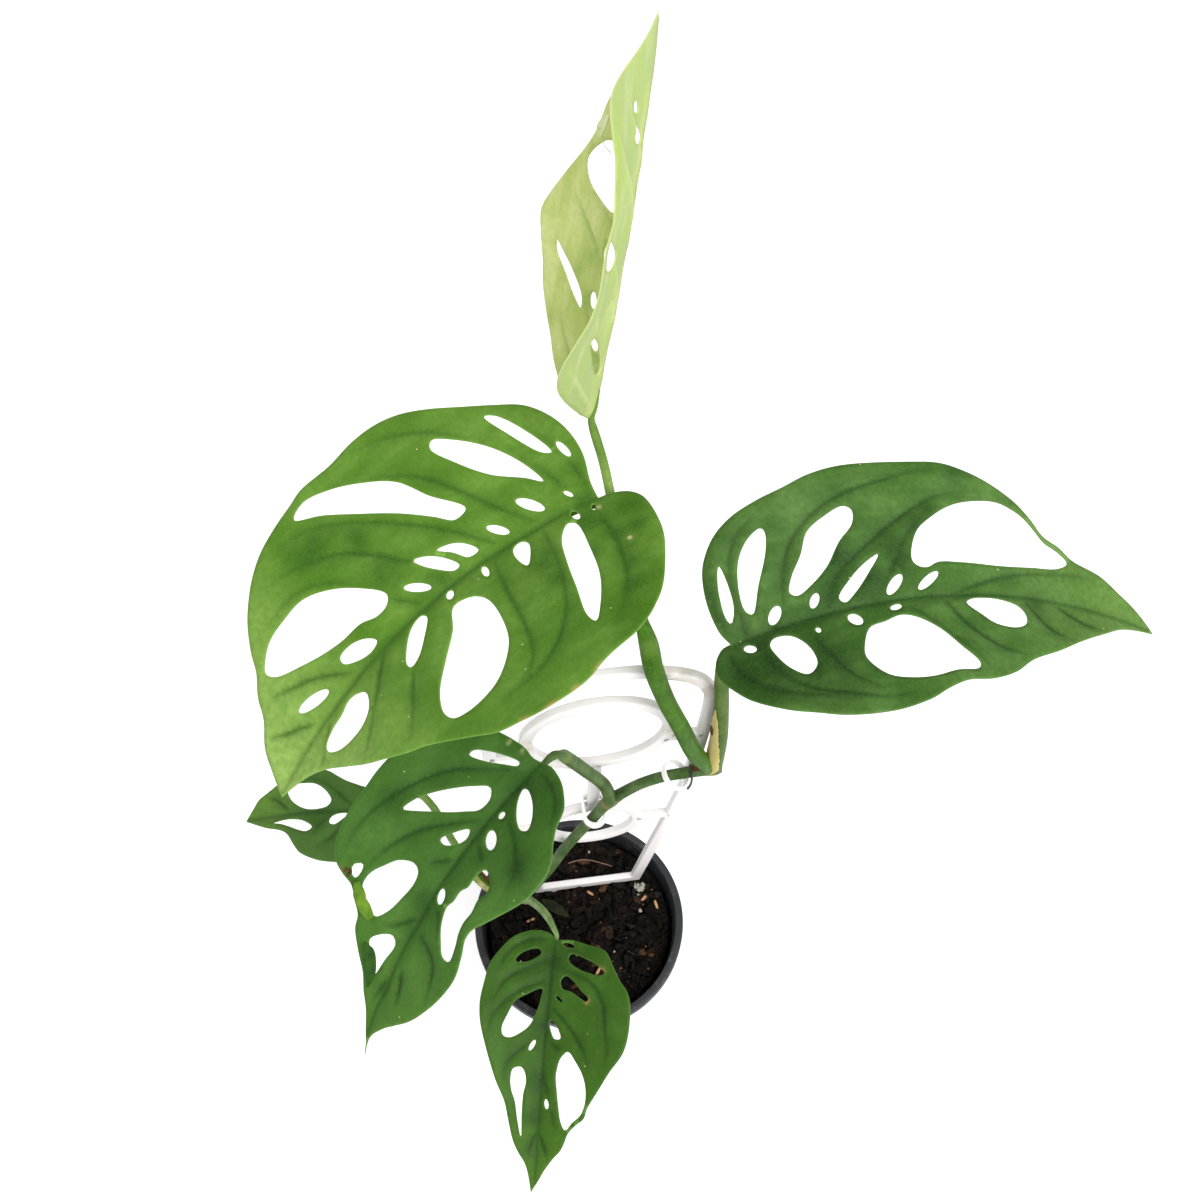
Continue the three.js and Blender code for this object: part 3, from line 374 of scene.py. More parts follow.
# The vine's stations (x, y, z, radius); those thicker than NODE_RADIUS are nodes, with a scar each.
VINE = [
    (-43.5, 13.6, 84, 2.9), (-40, 13.6, 105, 3), (-30, 13.5, 131.5, 3), (-17, 15.3, 168.5, 3),
    (-5.5, 16.8, 208, 3), (9.9, 18.3, 252, 3), (15.5, 19.2, 267, 3.2), (18.8, 19.6, 274.6, 3.9),
    (22, 20, 279, 3.2), (33.4, 21.6, 291.5, 2.9), (44.4, 23.1, 297.6, 2.9), (58.6, 25.1, 299.3, 3),
    (66, 26.4, 299.5, 3.4), (71, 27, 300, 3.9), (74, 27.4, 300.6, 3),
]
NODE_RADIUS = 3.8
VINE_COLORS = ((76, 102, 58), (108, 130, 86), (54, 80, 44))
# Brownish stains on the panel (across, up, reach).
DIRT = [(-34, 236, 7), (36, 236, 6), (30, 288, 14), (48, 276, 10), (3, 170, 5)]
# Pale grains and wood slivers lying on the bark: place, half-length and turn.
PERLITE = [
    (38.6, 21.7, 2.6, 0.3), (36.4, 23.6, 1.9, 1.2), (40.4, 24.4, 1.6, 2.2), (38.2, 18.6, 1.5, 0.9),
    (38.4, 8.2, 1.3, 2), (-12, -40, 0.9, 0.5), (22, -18, 0.7, 1), (-36, -24, 0.8, 2.4), (6, 46, 0.9, 1.7),
]
SLIVERS = [
    (41.1, 15.9, 2.4, 0.8), (48.6, 11.4, 3, 1.9), (-30.4, 1.9, 2.6, 0.4), (6.7, 19.1, 2.2, 2.6),
    (12, -30, 2.5, 1.1),
]
# A thin root on the bark (x, y, z, radius).
ROOT = [
    (-7.5, 38.7, 105, 0.35), (0, 40.3, 106.6, 0.35), (6.6, 40.1, 107, 0.3), (14, 38.4, 106.4, 0.35),
    (20.8, 36.8, 105, 0.3),
]
# Curled strips: (x, y, z, width, turn in degrees). Then the dry scraps, and the thread by the torn tab.
STRIPS = {
    "curled_strip": [
        (-93.3, -47.9, 354.5, 2.5, 0), (-92.4, -51.8, 352.5, 5, 12), (-91.5, -55.2, 350.5, 5, -10),
        (-89.3, -58.6, 348.5, 5, 8), (-87, -62.1, 347, 3, 0),
    ],
    "curled_edge": [
        (-89.5, -71.9, 342.5, 1, 0), (-87.8, -75.3, 340.5, 5, 8), (-87.2, -80, 338.5, 5.2, 10),
        (-87.2, -84.3, 336.5, 4, 5), (-88.4, -88.5, 334.5, 1, 0),
    ],
    "torn_tab": [(12.8, 137.7, 598, 1.5, 0), (13.8, 141.3, 600, 3.6, 10), (15.8, 144.4, 602, 2, 20)],
    "dry_leaflet": [
        (-24, 14.5, 107, 1.5, 20), (-18, 11, 107.8, 7, 12), (-12, 7.2, 107.6, 6, 8),
        (-6.5, 3.8, 106.6, 1, 4),
    ],
}
SCRAPS = [(-98.6, -42.5, 354.5), (-97.2, -44.6, 354), (-96.5, -42.8, 354)]
SCRAP_SIZE = (1.3, 0.5, 0.25)
THREAD = [
    (14.1, 139.4, 597, 0.15), (14.5, 137.3, 595, 0.15), (15.8, 137.2, 593, 0.15), (16.9, 138, 591, 0.15),
]

# Each leaf as in the part: see blade_surface for what the numbers mean. Pairs are (along, out to the left)
# in its flat millimetres; a hole of five numbers is an ellipse: centre, half-length, half-width, turn. A
# petiole's numbers are (x, y, z, radius). dark, pale, dry and speck are marks on the blade: place and
# reach. The dark marks are partly the leaf's own darker patches and partly painted shade, the pale ones
# partly its own paler patches and partly painted light; the speck marks are pale dots on leaf_middle and
# painted glints on leaf_big_left. Colours are near its base, over its middle, where it catches light, in
# its veins and in painted shade, at its tip and under it; then the stalk's, how strongly the blade is
# streaked lengthwise and how pale its rim is.
LEAVES = {}
# The young leaf's pale, yellowish colours are painted light: light shining through the thin blade from
# behind.
LEAVES["leaf_top_new"] = Table(
    base=(9.2, 94.1, 500), tip=(32.1, 158.1, 632), face=(-0.947, -0.085, 0.316), size=0.956,
    arch=-2.2, bow=0, fold=(28, 33), swing=(0, 8), wave=(0.3, 3, 0.2),
    left=[0,0, -2,6, 0,14, 6,22, 13,28, 22,33, 30,38, 40,42.5, 50,44.5, 60,48, 69,50.5, 77,47, 88,39,
    98,31, 106,25.5, 113,22.5, 120,20, 130,14, 138,9, 146,4, 155,0],
    right=[0,0, 1,-4, 8,-16, 18,-31, 27,-42, 36,-49, 44,-51, 51,-47, 56,-40, 64,-38, 74,-40, 83,-39,
    89,-31, 95,-30, 102,-30.5, 111,-30, 120,-32.5, 127,-33, 133,-31, 138,-24, 144,-12, 150,-4, 155,0],
    holes=[[40,18, 45,18.5, 52,25, 58,33, 61,38, 57,37, 50,30, 44,24], [82,9, 86,6.5, 94,6, 102,9, 107,15,
    105,20, 97,27, 90,25, 84.5,17], [71.2,8.7, 70,5.4, 67.2,3.5, 63,4.2, 59.7,6.3, 61.1,9.1, 64.6,10.3,
    68.3,10.1], [46, 11.5, 3.4, 1.9, 10], [29.3, 6.3, 2.7, 2, 40], [121.9, 5.5, 3, 1.6, 12], [112.9, 2.8,
    3.8, 1.7, 12], [84,-33, 79.6,-24.6, 73.6,-17.5, 70.6,-19.5, 71.3,-28, 75.5,-35, 80,-36], [41,-19,
    36.7,-11.5, 31.1,-6.5, 25.7,-3.3, 21.3,-2.8, 20.8,-4.8, 25.2,-9.5, 31.1,-14, 37.3,-19.4, 40.5,-21.5],
    [51.5, -9, 3.2, 1, 60], [127.6,-11.3, 125,-8.9, 122.6,-9.2, 123.6,-11.8, 126.1,-13], [119.5,-9.7,
    117.2,-6.6, 114.5,-3.4, 111.9,-2.9, 111.2,-4.9, 113.1,-8.2, 116.1,-9.6]],
    petiole=[33,31,432,2.3, 26.6,46,448,2.1, 19.6,66,468,2, 14.4,84,484,1.9, 10.6,92.4,494,1.8,
    9.4,94,499.4,1.6],
    veins=[[4,3, 10,12, 20,22, 34,30], [24,3, 36,12, 48,20, 56,26], [52,3, 64,14, 78,28, 84,34], [74,2,
    80,12, 90,28], [108,2, 116,10, 124,15], [4,-3, 14,-14, 26,-28, 38,-44], [20,-2, 34,-14, 50,-26,
    58,-34], [44,-2, 60,-12, 74,-20, 86,-28], [80,-2, 94,-12, 108,-22, 120,-28], [106,-2, 118,-12,
    130,-20]],
    dark=[29,35,3.5, 24,5,5, 144,-8,3.5, 138,-16,3.5, 62,19,5, 54,22,5, 45,14,6, 84,4,4],
    pale=[65,42,8, 55,42,6, 39,40,5, 22,27,6, 112,23,4, 92,20,6],
    colors=[(180, 204, 106), (214, 228, 134), (240, 244, 172), (144, 178, 84), (206, 222, 148),
    (178, 196, 132)],
    stem=[(104, 142, 62), (138, 168, 88), (80, 116, 46)], streaked=0.75, rim=0.15,
)
LEAVES["leaf_big_left"] = Table(
    base=(12.35, 69.8, 480), tip=(-114.7, -30.3, 414.8), face=(-0.25, -0.1, 1), size=0.932,
    arch=12, bow=-12, fold=(14, 14), swing=(0, 0), wave=(0.5, 3, 0.1),
    left=[0,0, -6,1, -12,4, -16,10, -17,20, -16,32, -12,44, -6,57, 0,65, 7,71, 15,75, 30,78, 42,82, 55,84,
    68,84, 80,81, 90,77, 100,70, 110,63, 120,56, 130,50, 140,42, 148,35, 156,26, 165,15.5, 175,7.5,
    188,0],
    right=[0,0, 0,-8, -2,-20, -1,-31, 3,-42, 10,-52, 20,-59, 30,-65, 40,-71, 50,-76, 60,-79, 70,-80,
    80,-79, 92,-79, 100,-76, 110,-73, 120,-70, 130,-65, 140,-57, 148,-47, 153,-39, 160,-32, 166,-24,
    175,-17, 182,-8, 188,0],
    holes=[[13,8, 13,25, 15,40, 20,52, 26,60, 28,55, 26,40, 24,25, 21,12, 16,6], [60,25, 62,17, 67,12,
    75,10.5, 81,21, 91,31, 101,41, 105,50, 103,56, 96,59, 85,60, 76,58, 68,52, 62,43], [87,5, 89,1.6,
    95,3, 102,10, 106,17, 105,20, 100,19, 93,13], [128,10, 132,5.5, 137,4.2, 143,6, 150,6.5, 157,9,
    158,12, 154,17, 147,20, 138,20.5, 131,17], [34,5, 36.5,1.8, 40.5,3, 41.5,9, 39,16, 36,12], [11.5, 3.6,
    3.2, 1.5, 100], [55.5, 5.2, 3.4, 1.5, 90], [73.5, 3.6, 2.6, 1.9, 80], [3.4, 4, 1.8, 0.9, 80],
    [8.5,-27, 12,-29, 20,-44, 24.5,-56, 21,-54, 14,-42], [16.5,-17, 22,-22, 33,-31, 42,-44, 47,-55,
    45,-58, 38,-53, 28,-42, 20,-28], [48,-24, 54,-22.5, 60,-29, 70,-40, 82,-52, 93,-63, 101.5,-70,
    95,-73.5, 85,-70, 74,-62, 64,-52, 57,-38], [94,-16, 97,-12.5, 103,-12, 110,-15, 120,-16, 130,-19,
    140,-24, 149,-30, 151,-35, 147,-39, 140,-42.5, 130,-43, 120,-42, 110,-36, 101,-27], [53,-5.5, 58,-5.5,
    62,-11, 67,-16.5, 60,-14.5, 55,-10], [63,-5, 66,-4.5, 71,-9, 76,-16, 77,-19.5, 73,-18, 67,-12.5],
    [110,-4.5, 115,-3, 122,-5, 127,-9, 126,-12, 119,-12, 112.5,-8.5], [25.5, -10.5, 6.4, 2.2, -50], [41.8,
    -8.2, 5, 1.8, -48], [82.5, -9, 6, 1.9, -42], [147, -9.6, 8, 2.6, -20], [4, -26, 4.4, 1.4, -75], [10,
    -7, 2.2, 0.9, -55]],
    petiole=[69.4,26.8,300,4.1, 58.2,22,333,4.3, 49.9,21,365.5,4.2, 41.8,22,393,4.1, 35.4,24.2,420,4.3,
    33,29,433,4.1, 30,34.5,442,2.9, 25,44,455,2.6, 18,58,472,2.4, 13.2,67.6,478.5,2],
    veins=[[5,2, 2,15, 2,30, 5,45, 12,58, 22,66], [26,3, 27,20, 30,35, 35,47, 45,58, 60,66, 85,67], [50,3,
    52,20, 53,40, 56,55, 62,63, 75,67], [74,8, 78,20, 90,32, 103,42, 108,55], [84,0, 95,10, 108,25,
    118,40, 125,48], [112,2, 125,15, 140,28, 148,33], [150,3, 160,10, 165,14], [2,-3, 3,-15, 7,-30,
    15,-45, 25,-57], [8,-4, 15,-22, 28,-42, 42,-60, 60,-72, 75,-78], [28,-4, 38,-18, 45,-30, 58,-50,
    75,-64, 90,-75], [46,-4, 58,-20, 72,-36, 85,-50, 100,-62, 115,-66], [64,-3, 80,-22, 95,-42, 110,-52,
    125,-58], [86,-3, 95,-15, 105,-35, 120,-46, 140,-48], [128,-4, 138,-14, 150,-22, 160,-28], [155,-4,
    165,-12, 172,-18]],
    dark=[16,30,12, 8,12,9, 33,17,10, 72,22,8, 104,-56,10, -2,41,8, 90,-24,8, 5,17,8, 89,-44,7, 73,-5,6,
    -8,22,6, 32,30,6, 9,36,6, 5,-1,5, 3,13,6, 0,22,6, 1,32,6, 4,50,7, -9,13,7],
    pale=[75,9,4, 84,30,12, 96,-6,7, 60,-10,6, 125,39,14, 142,-4,12, 124,54,10, 109,27,6, 107,9,6,
    -12,38,8, 11,36,5],
    dry=[35,81,2.4, 49,82,2.2, 62,83,3, 76,83,2],
    speck=[2,5,0.9, -3.2,28,0.8],
    colors=[(72, 114, 34), (92, 138, 46), (126, 168, 72), (42, 82, 20), (186, 220, 122), (126, 156, 92)],
    stem=[(66, 106, 32), (88, 130, 46), (46, 82, 24)], streaked=0.35, rim=0.4,
)
LEAVES["leaf_right"] = Table(
    base=(66, 28, 430), tip=(262, 54, 394), face=(0.05, -0.05, 1), size=1,
    arch=16, bow=14, fold=(14, 14), swing=(0, 0), wave=(0.6, 3, 0.6),
    left=[2,0.5, -0.5,8, -0.5,20, 2,32, 6,40, 12,47, 20,52, 30,55, 40,57, 50,60, 62,62, 75,62, 90,60.5,
    100,59, 110,55, 120,50, 130,43.5, 137,36.5, 142.5,29.5, 150,25.5, 157,20.5, 170,17, 180,12, 190,7,
    201,0],
    right=[2,0.5, -3,-0.5, -7,-5, -8,-12, -5,-20, 0,-28, 10,-37, 20,-43, 30,-48, 42,-51, 55,-52, 68,-50.5,
    78,-47, 88,-44.5, 100,-44.5, 113,-41, 125,-34, 140,-28, 155,-20, 170,-12, 183,-5, 201,0],
    holes=[[4,12, 5,9, 8,14, 9.5,25, 9,33.5, 6,26], [12,18, 12,11.5, 14,9.5, 20,20, 27,33, 29,41, 28,43,
    22,40, 16,32], [30.5,13, 33,11, 40,14, 48,20, 55,29, 62,36, 63,42, 60,44, 52,41, 44,36, 39,27, 33,19],
    [49,5.5, 51,3.2, 57,7, 64,14, 69.5,21, 63,18, 55,12], [83,17, 85,14, 89,13, 94,15, 105,14.5, 122,13.4,
    137,14.2, 149,15.6, 154,19, 150,22.8, 143,26.5, 139,31, 134,36.3, 129,39.5, 122,42, 110,41.5,
    102,39.5, 94,35, 87,29], [22, 6, 4.2, 2.3, 50], [39, 7, 3.4, 1.8, 55], [73.5, 7, 5.4, 2.2, 45], [88.5,
    7.2, 6, 1.9, 35], [15.5,-6, 18,-3.4, 24,-4.4, 28,-9, 30,-16, 29,-22, 24,-25, 19,-20, 16,-12],
    [49.5,-25, 52,-17.5, 57,-11, 64,-9.6, 72,-7.6, 78,-9.6, 86,-17, 92,-27, 97,-36, 95,-39, 85,-39,
    74,-40.3, 64,-39, 55,-35], [103.5,-4, 107,-1.6, 114,-0.9, 121,-1.8, 128,-5, 130,-10, 128,-15,
    122,-17.4, 113,-15.5, 108,-10.5], [7.8, -4.2, 2.6, 1.9, -40], [52.4, -5.6, 3.5, 2.7, -60], [71.4,
    -3.2, 2.8, 1.5, 15], [36, -6.2, 1.4, 1.1, 90]],
    petiole=[71,27,301,3.7, 70.9,27,313,3.9, 70.2,26.6,340,3.9, 67.9,26.6,376,3.6, 65.6,27.6,408,3.1,
    65.2,28,422,2.5, 66,28,428.6,2],
    veins=[[2,4, 2,20, 4,35, 10,45], [9,3, 10,15, 12,30, 18,42, 28,50], [26,6, 30,20, 36,32, 45,41, 60,49,
    85,55, 105,57], [44,3, 50,14, 65,25, 85,38, 100,45, 118,46], [66,3, 75,15, 83,28, 92,36], [100,1,
    125,9, 150,13, 170,15], [0,-3, 0,-12, 6,-22, 18,-32, 35,-40], [12,-3, 14,-18, 22,-30, 35,-38, 52,-45,
    68,-45], [33,-4, 36,-18, 42,-32, 52,-42], [78,-4, 88,-16, 97,-30, 103,-40], [95,-3, 100,-15, 110,-26,
    125,-33], [133,-3, 140,-14, 150,-22], [150,-2, 162,-9, 175,-10]],
    dark=[12,-14,14, 32,-24,13, 56,-26,10, 62,10,9, 52,24,8, 13,-2,9, 6,-12,12, 106,52,5, 73,25,9,
    88,32,7, 79,15,7, 138,-4,6, 45,8,6, 93,40,4],
    pale=[40,44,6, 76,42,8, 96,-6,9, 68,50,7, 12,35,8, 150,0,12, 115,7,6, 47,-47,6, 14,5,5, 106,-24,6],
    colors=[(50, 84, 31), (84, 127, 56), (112, 152, 79), (30, 54, 20), (130, 168, 82), (112, 142, 88)],
    stem=[(78, 106, 44), (100, 126, 60), (54, 84, 30)], streaked=0.4, rim=0.3,
)
LEAVES["leaf_middle"] = Table(
    base=(-13, -0.8, 374.3), tip=(-89.3, -105.7, 318.2), face=(-0.2, -0.1, 1), size=0.905,
    arch=10, bow=-6, fold=(12, 14), swing=(0, 0), wave=(0.6, 3, 0.4),
    left=[-1,0, -2.5,6, -1,14, 2,20, 8,27, 17,31, 24,36, 30,41, 38,44, 48,44, 57,41, 65,37, 74,32,
    80,28.5, 86,28, 93,31, 102,33.5, 110,33, 120,30, 130,25, 137,20, 143,13.5, 149,7, 157,1.5, 166,2.5],
    right=[-1,0, 0.5,-5, 0,-12, 2,-22, 6,-33, 13,-43, 24,-52, 37,-57, 50,-59, 60,-58.5, 70,-58, 80,-56.5,
    87,-54, 92,-50, 95,-44, 97,-38, 102,-33, 107,-28, 113,-26, 121,-20, 129,-13.5, 137,-9.5, 145,-5,
    157,-0.8, 166,2.5],
    holes=[[13,5, 14,2.6, 20,5, 27,12, 29,17, 27,20, 22,18, 16,12], [54,16, 57,14, 62,13.4, 66,13.4,
    70,11.2, 76,11, 80,9.6, 88,12, 95,17, 100,22, 99.5,26.5, 92,25.5, 86,23.2, 80,22.3, 74,23, 67,22,
    63,23.8, 57,22], [42, 8, 5, 3, 45], [78.2, 3.6, 3.9, 2.3, 25], [30, 3.6, 2, 1.6, 0], [6.5,-8, 8,-7.5,
    12,-13, 17,-21, 19.5,-28.5, 17,-28.5, 11,-20], [24,-10, 28,-6.5, 35,-7, 40,-12, 45,-18, 49,-24,
    53,-30, 56.5,-37, 50,-35, 44,-31, 37,-25, 29,-17], [45,-4.6, 49,-3, 54,-5, 58,-10, 57,-13, 52,-10.5],
    [73,-17, 75,-13, 81,-11.5, 90,-13, 98,-15.5, 103.5,-20, 101,-25, 98.5,-30, 94,-33, 88,-32.5, 81,-28,
    76,-24], [107,-8, 110,-4.8, 119,-6, 129,-8.2, 121,-12.5, 114,-17, 109.5,-13.5], [86.5,-37.5, 91,-36.8,
    93.5,-38, 91.5,-41.5, 87.5,-41]],
    petiole=[18.6,18.8,276.5,3.5, 14.8,16.5,304.9,3.3, 6.4,13,331.4,3.2, -1.4,9,357,3.2, -3.2,7.6,363.5,3,
    -4.8,6.2,368,2.1, -8,3.6,373,2, -12.2,0,374.8,1.7],
    veins=[[3,4, 5,15, 12,24, 20,28], [28,4, 33,15, 40,24, 48,30, 56,31], [48,4, 53,12], [84,4, 88,9,
    97,15], [100,5, 106,18, 114,22, 125,25], [120,4, 135,10], [8,-3, 17,-15, 30,-30, 45,-40, 60,-47,
    75,-50, 90,-49], [40,-5, 47,-12, 60,-24, 75,-32, 90,-36], [62,-3, 70,-12], [95,-2, 103,-10, 106,-16],
    [128,-1, 140,-4]],
    dark=[14,4,9, 43,30,8, 57,-41,8, 86,-2,7, 38,-33,7, 100,-2,6],
    pale=[104,-8,8, 39,-42,9, 73,-43,7, 116,10,10, 70,-40,10, 127,8,7],
    dry=[92,-45,2],
    speck=[3.3,-18.8,0.8, 2.2,-11,0.7, -1.1,-7.2,0.7],
    colors=[(62, 100, 42), (78, 120, 52), (98, 142, 66), (30, 56, 24), (92, 134, 54), (104, 134, 84)],
    stem=[(70, 96, 50), (94, 118, 70), (50, 76, 38)], streaked=0.35, rim=0.5,
)
LEAVES["leaf_front"] = Table(
    base=(-12.4, -22.5, 165), tip=(-23.5, -154.5, 122), face=(0, -0.15, 1), size=1,
    arch=10, bow=-1, fold=(12, 12), swing=(0, 0), wave=(0.6, 3, 0.8),
    left=[3,0.5, 2.5,10, 4.5,20, 7,30, 15,35.5, 22,40, 28,45, 36,47.5, 50,47.5, 60,45, 70,38.5, 80,33,
    90,27.6, 96,25.8, 100,21.5, 105,17.4, 110,15.7, 115,13.5, 120,9.5, 127,5, 133,2, 140,-2],
    right=[3,0.5, 0,-3, -1,-10, 1,-18, 5,-25, 12,-31, 20,-36, 30,-38, 40,-39, 50,-37.5, 60,-34, 70,-30,
    80,-25.5, 90,-20, 100,-17, 110,-14, 117,-10.5, 123,-6.5, 130,-4, 140,-2],
    holes=[[10,10.5, 13,9, 17,14, 19.5,22, 20.3,28, 19,31, 15,26, 12,19], [22,8.5, 25,6, 29,7.5, 30,12,
    33,18, 34.8,22, 33,23, 29,18, 25,14], [46,3.2, 47.5,1.8, 52,3, 56,5.5, 55.5,9, 52,8, 48.5,5.8],
    [62,14, 66,10, 72,8.5, 76,8.2, 84,9.5, 92,11, 100,13, 103.5,15.6, 99,19.2, 94.5,23.6, 88,25.8,
    80,25.6, 73,23.2, 67,19], [5.4, 8.4, 3.6, 1.2, 80], [34.6, 6, 2.5, 0.8, 50], [91, 4, 2.7, 1.2, 10],
    [9,-8.5, 11,-7, 14,-10, 17,-16, 17,-21.5, 14.5,-20.5, 10.5,-15], [30,-4.2, 35,-4.5, 42,-6, 50,-9.5,
    54,-14, 57,-20, 56,-24, 52,-25, 45,-22.5, 38,-19, 34,-13], [72,-12, 75,-9.6, 80,-8.6, 86,-9.6,
    96,-9.7, 109,-9.2, 100,-11.8, 90,-14, 84,-16.5, 78,-17.5, 73,-16.5], [60.3, -6.8, 3.2, 1.3, -28]],
    petiole=[-36.5,12.3,113,2.5, -33.4,8.5,126,2.4, -28.5,4,142,2.2, -18.4,-9,158.5,2,
    -13.4,-19.6,164.4,1.6, -12.4,-22.2,164.6,1.6],
    veins=[[7,4, 9,14, 14,24, 22,34], [18,4, 21,15, 25,24, 35,31, 50,34, 62,36, 70,34], [40,3, 50,14,
    60,22, 72,27], [58,3, 62,10], [80,2, 95,7, 105,10], [108,1, 122,7], [3,-3, 5,-15, 12,-25, 25,-32],
    [14,-3, 20,-14, 28,-26, 42,-33], [26,-4, 33,-18, 45,-30, 55,-33], [55,-3, 62,-12, 70,-20, 80,-22],
    [108,-1, 120,-5]],
    dark=[16,-1,9, 50,-1,6, 78,-2,6, 98,-3,5, 117,-3,5],
    pale=[30,-22,8, 118,3,8, 48,14,6, 48,41,6, 26,26,6],
    dry=[16,30.5,2.2, 35,23,2],
    colors=[(56, 90, 34), (72, 109, 42), (88, 130, 54), (30, 54, 20), (98, 140, 52), (104, 134, 84)],
    stem=[(104, 136, 74), (140, 166, 108), (70, 102, 50)], streaked=0.35, rim=0.5,
)
LEAVES["leaf_left_low"] = Table(
    base=(-108, 44, 188), tip=(-196, 40, 182), face=(0, 0, 1), size=1,
    arch=8, bow=0, fold=(12, 12), swing=(0, 0), wave=(0.5, 3, 0.3),
    left=[0,0, -4,5, -5,13, -2,22, 5,29, 14,33.5, 22,35, 30,34, 40,32, 50,27, 55,21, 60,13.5, 65,10,
    73,7.5, 80,4.5, 89,0],
    right=[0,0, -3,-4, -1,-9, 6,-12, 17,-14, 23,-16, 28,-18, 33,-21, 38,-24, 47,-26.5, 56,-25.5, 63,-22,
    70,-17, 75,-14, 80,-11, 84,-6, 89,0],
    holes=[[36,-6.5, 38,-3.4, 43,-2, 50,-2.2, 56,-5, 60,-9, 61.5,-13.5, 58,-17, 52,-17.5, 45,-16.5,
    39,-12], [46,10, 49,12.4, 54,11, 60,8, 66,5.5, 70,4.6, 66,3.6, 60,3.2, 52,5], [26,1.6, 29,1.2, 33,2,
    36,4.6, 36,8, 33.5,9, 30,6.5], [15, 18, 8, 2.8, 65], [7.5, 5, 2.8, 1.3, 60], [14, -6, 3.4, 1.5, -50]],
    petiole=[-40,12,108,2.6, -49,15.4,113,2.5, -59,20.6,122.5,2.4, -69,28.5,140,2.3, -77,36.5,162,2.2,
    -86,46.8,192,2.2, -92.5,50.4,199.5,2.2, -100,49,197,2, -107.2,44.8,189,1.6],
    veins=[[28,3, 32,14, 42,24], [36,3, 42,8, 45,16], [60,1, 75,4], [25,-4, 36,-14, 48,-20, 58,-19],
    [62,-3, 70,-10, 76,-12]],
    dark=[44,4,8],
    pale=[80,6,9, 40,18,6],
    colors=[(68, 102, 46), (84, 120, 58), (96, 134, 66), (38, 66, 30), (128, 168, 68), (104, 134, 84)],
    stem=[(84, 120, 52), (118, 148, 76), (56, 90, 38)], streaked=0.35, rim=0.5,
)


# ---- leaves ----

# Steps between the points of a blade's mesh: along its veins, round its edges and between them.
VEIN_STEP, EDGE_STEP, FIELD_STEP = 0.9, 1.3, 1.5
# How far the blade rises and sinks at each kind of relief.
RELIEF = Table(swell=0.9, quilt=0.22, valley=1.35, crease=0.2, trough=0.7, midrib=0.2)
# Half the thickness of a blade at its edge, and what it gains inwards.
EDGE_HALF, HALF_GAIN = 0.2, 0.14
MARK_KINDS = ("dark", "pale", "dry", "speck")
# How far under its blade a stalk ends, and the young leaf's.
STALK_SINK, YOUNG_STALK_SINK = 2.7, 1.3


def rows(numbers, width=2):
    """A flat list of numbers as points."""
    return np.array(numbers, float).reshape(-1, width)


def blade_surface(leaf):
    """place(s, t, lift): points of the bent blade, s along the midrib and t out to the left.

    The midrib runs from base to tip, raised by arch and moved to the left by bow in its middle; face is the
    way that the blade looks. Its left and right halves rise by fold degrees, changed by swing towards base
    and tip. wave is the height, the number and the phase of the margin's waves 40 mm from the midrib.
    """
    base, tip = np.array(leaf.base, float), np.array(leaf.tip, float)
    length = np.linalg.norm(tip - base)
    ahead = (tip - base) / length
    up = np.array(leaf.face, float)
    up = unit(up - up.dot(ahead) * ahead)
    left = np.cross(up, ahead)
    knee = (base + tip) / 2 + 2 * leaf.size * (leaf.arch * up + leaf.bow * left)
    start, end = 2 * (knee - base), 2 * (tip - knee)
    height, waves, phase = leaf.wave

    def place(s, t, lift):
        s, t, lift = (np.asarray(x, float)[:, None] for x in (s, t, lift))
        u = s / length
        c = np.clip(u, 0, 1)
        along = start * (1 - c) + end * c
        mid = base * (1 - c) ** 2 + knee * 2 * c * (1 - c) + tip * c**2 + along * (u - c)
        along = unit(along)
        side = unit(np.cross(up, along))
        normal = np.cross(along, side)
        right = t < 0
        fold, swing = (np.where(right, pair[1], pair[0]) for pair in (leaf.fold, leaf.swing))
        fold = np.radians(fold + swing * np.cos(2 * np.pi * u))
        ripple = height * (t / 40) ** 2 * np.sin(2 * np.pi * (waves * u + phase + 0.35 * right))
        out = np.abs(t) * np.cos(fold) - np.sin(fold) * lift
        rise = np.abs(t) * np.sin(fold) + ripple + np.cos(fold) * lift
        return mid + side * np.where(right, -out, out) + normal * rise

    return place


def blade_loops(leaf):
    """The outline and the holes of a blade as closed paths of evenly spaced points."""
    left, right = (resample(spline(rows(side)), EDGE_STEP) for side in (leaf.left, leaf.right))
    loops = [np.vstack([left, right[::-1][1:-1]])]
    for hole in leaf.holes:
        if len(hole) != 5:
            loops.append(resample(spline(rows(hole), closed=True), EDGE_STEP, closed=True))
            continue
        s, t, long, wide, turn = hole
        a = np.linspace(0, 2 * np.pi, max(14, round(4 * long)), endpoint=False)
        x, y = long * np.cos(a), wide * np.sin(a)
        c, d = math.cos(math.radians(turn)), math.sin(math.radians(turn))
        loops.append(np.stack([s + c * x - d * y, t + d * x + c * y], axis=1))
    return [loop * leaf.size for loop in loops]


def within(loop, points):
    """Which of the points lie inside the closed path."""
    x, y = points[:, 0], points[:, 1]
    inside = np.zeros(len(points), bool)
    for (x0, y0), (x1, y1) in zip(loop, np.roll(loop, -1, axis=0)):
        rise = y1 - y0 if y1 != y0 else 1e-9
        inside ^= ((y0 > y) != (y1 > y)) & (x < (x1 - x0) * (y - y0) / rise + x0)
    return inside


def on_blade(loops, points):
    """Which of the points lie inside the outline and in none of the holes."""
    keep = within(loops[0], points)
    for hole in loops[1:]:
        keep &= ~within(hole, points)
    return keep


def away_from(points, others):
    """Distance of each point to the nearest of the others."""
    tree = KDTree(len(others))
    for i, p in enumerate(others):
        tree.insert((p[0], p[1], 0), i)
    tree.balance()
    return np.array([tree.find((p[0], p[1], 0))[2] for p in points])


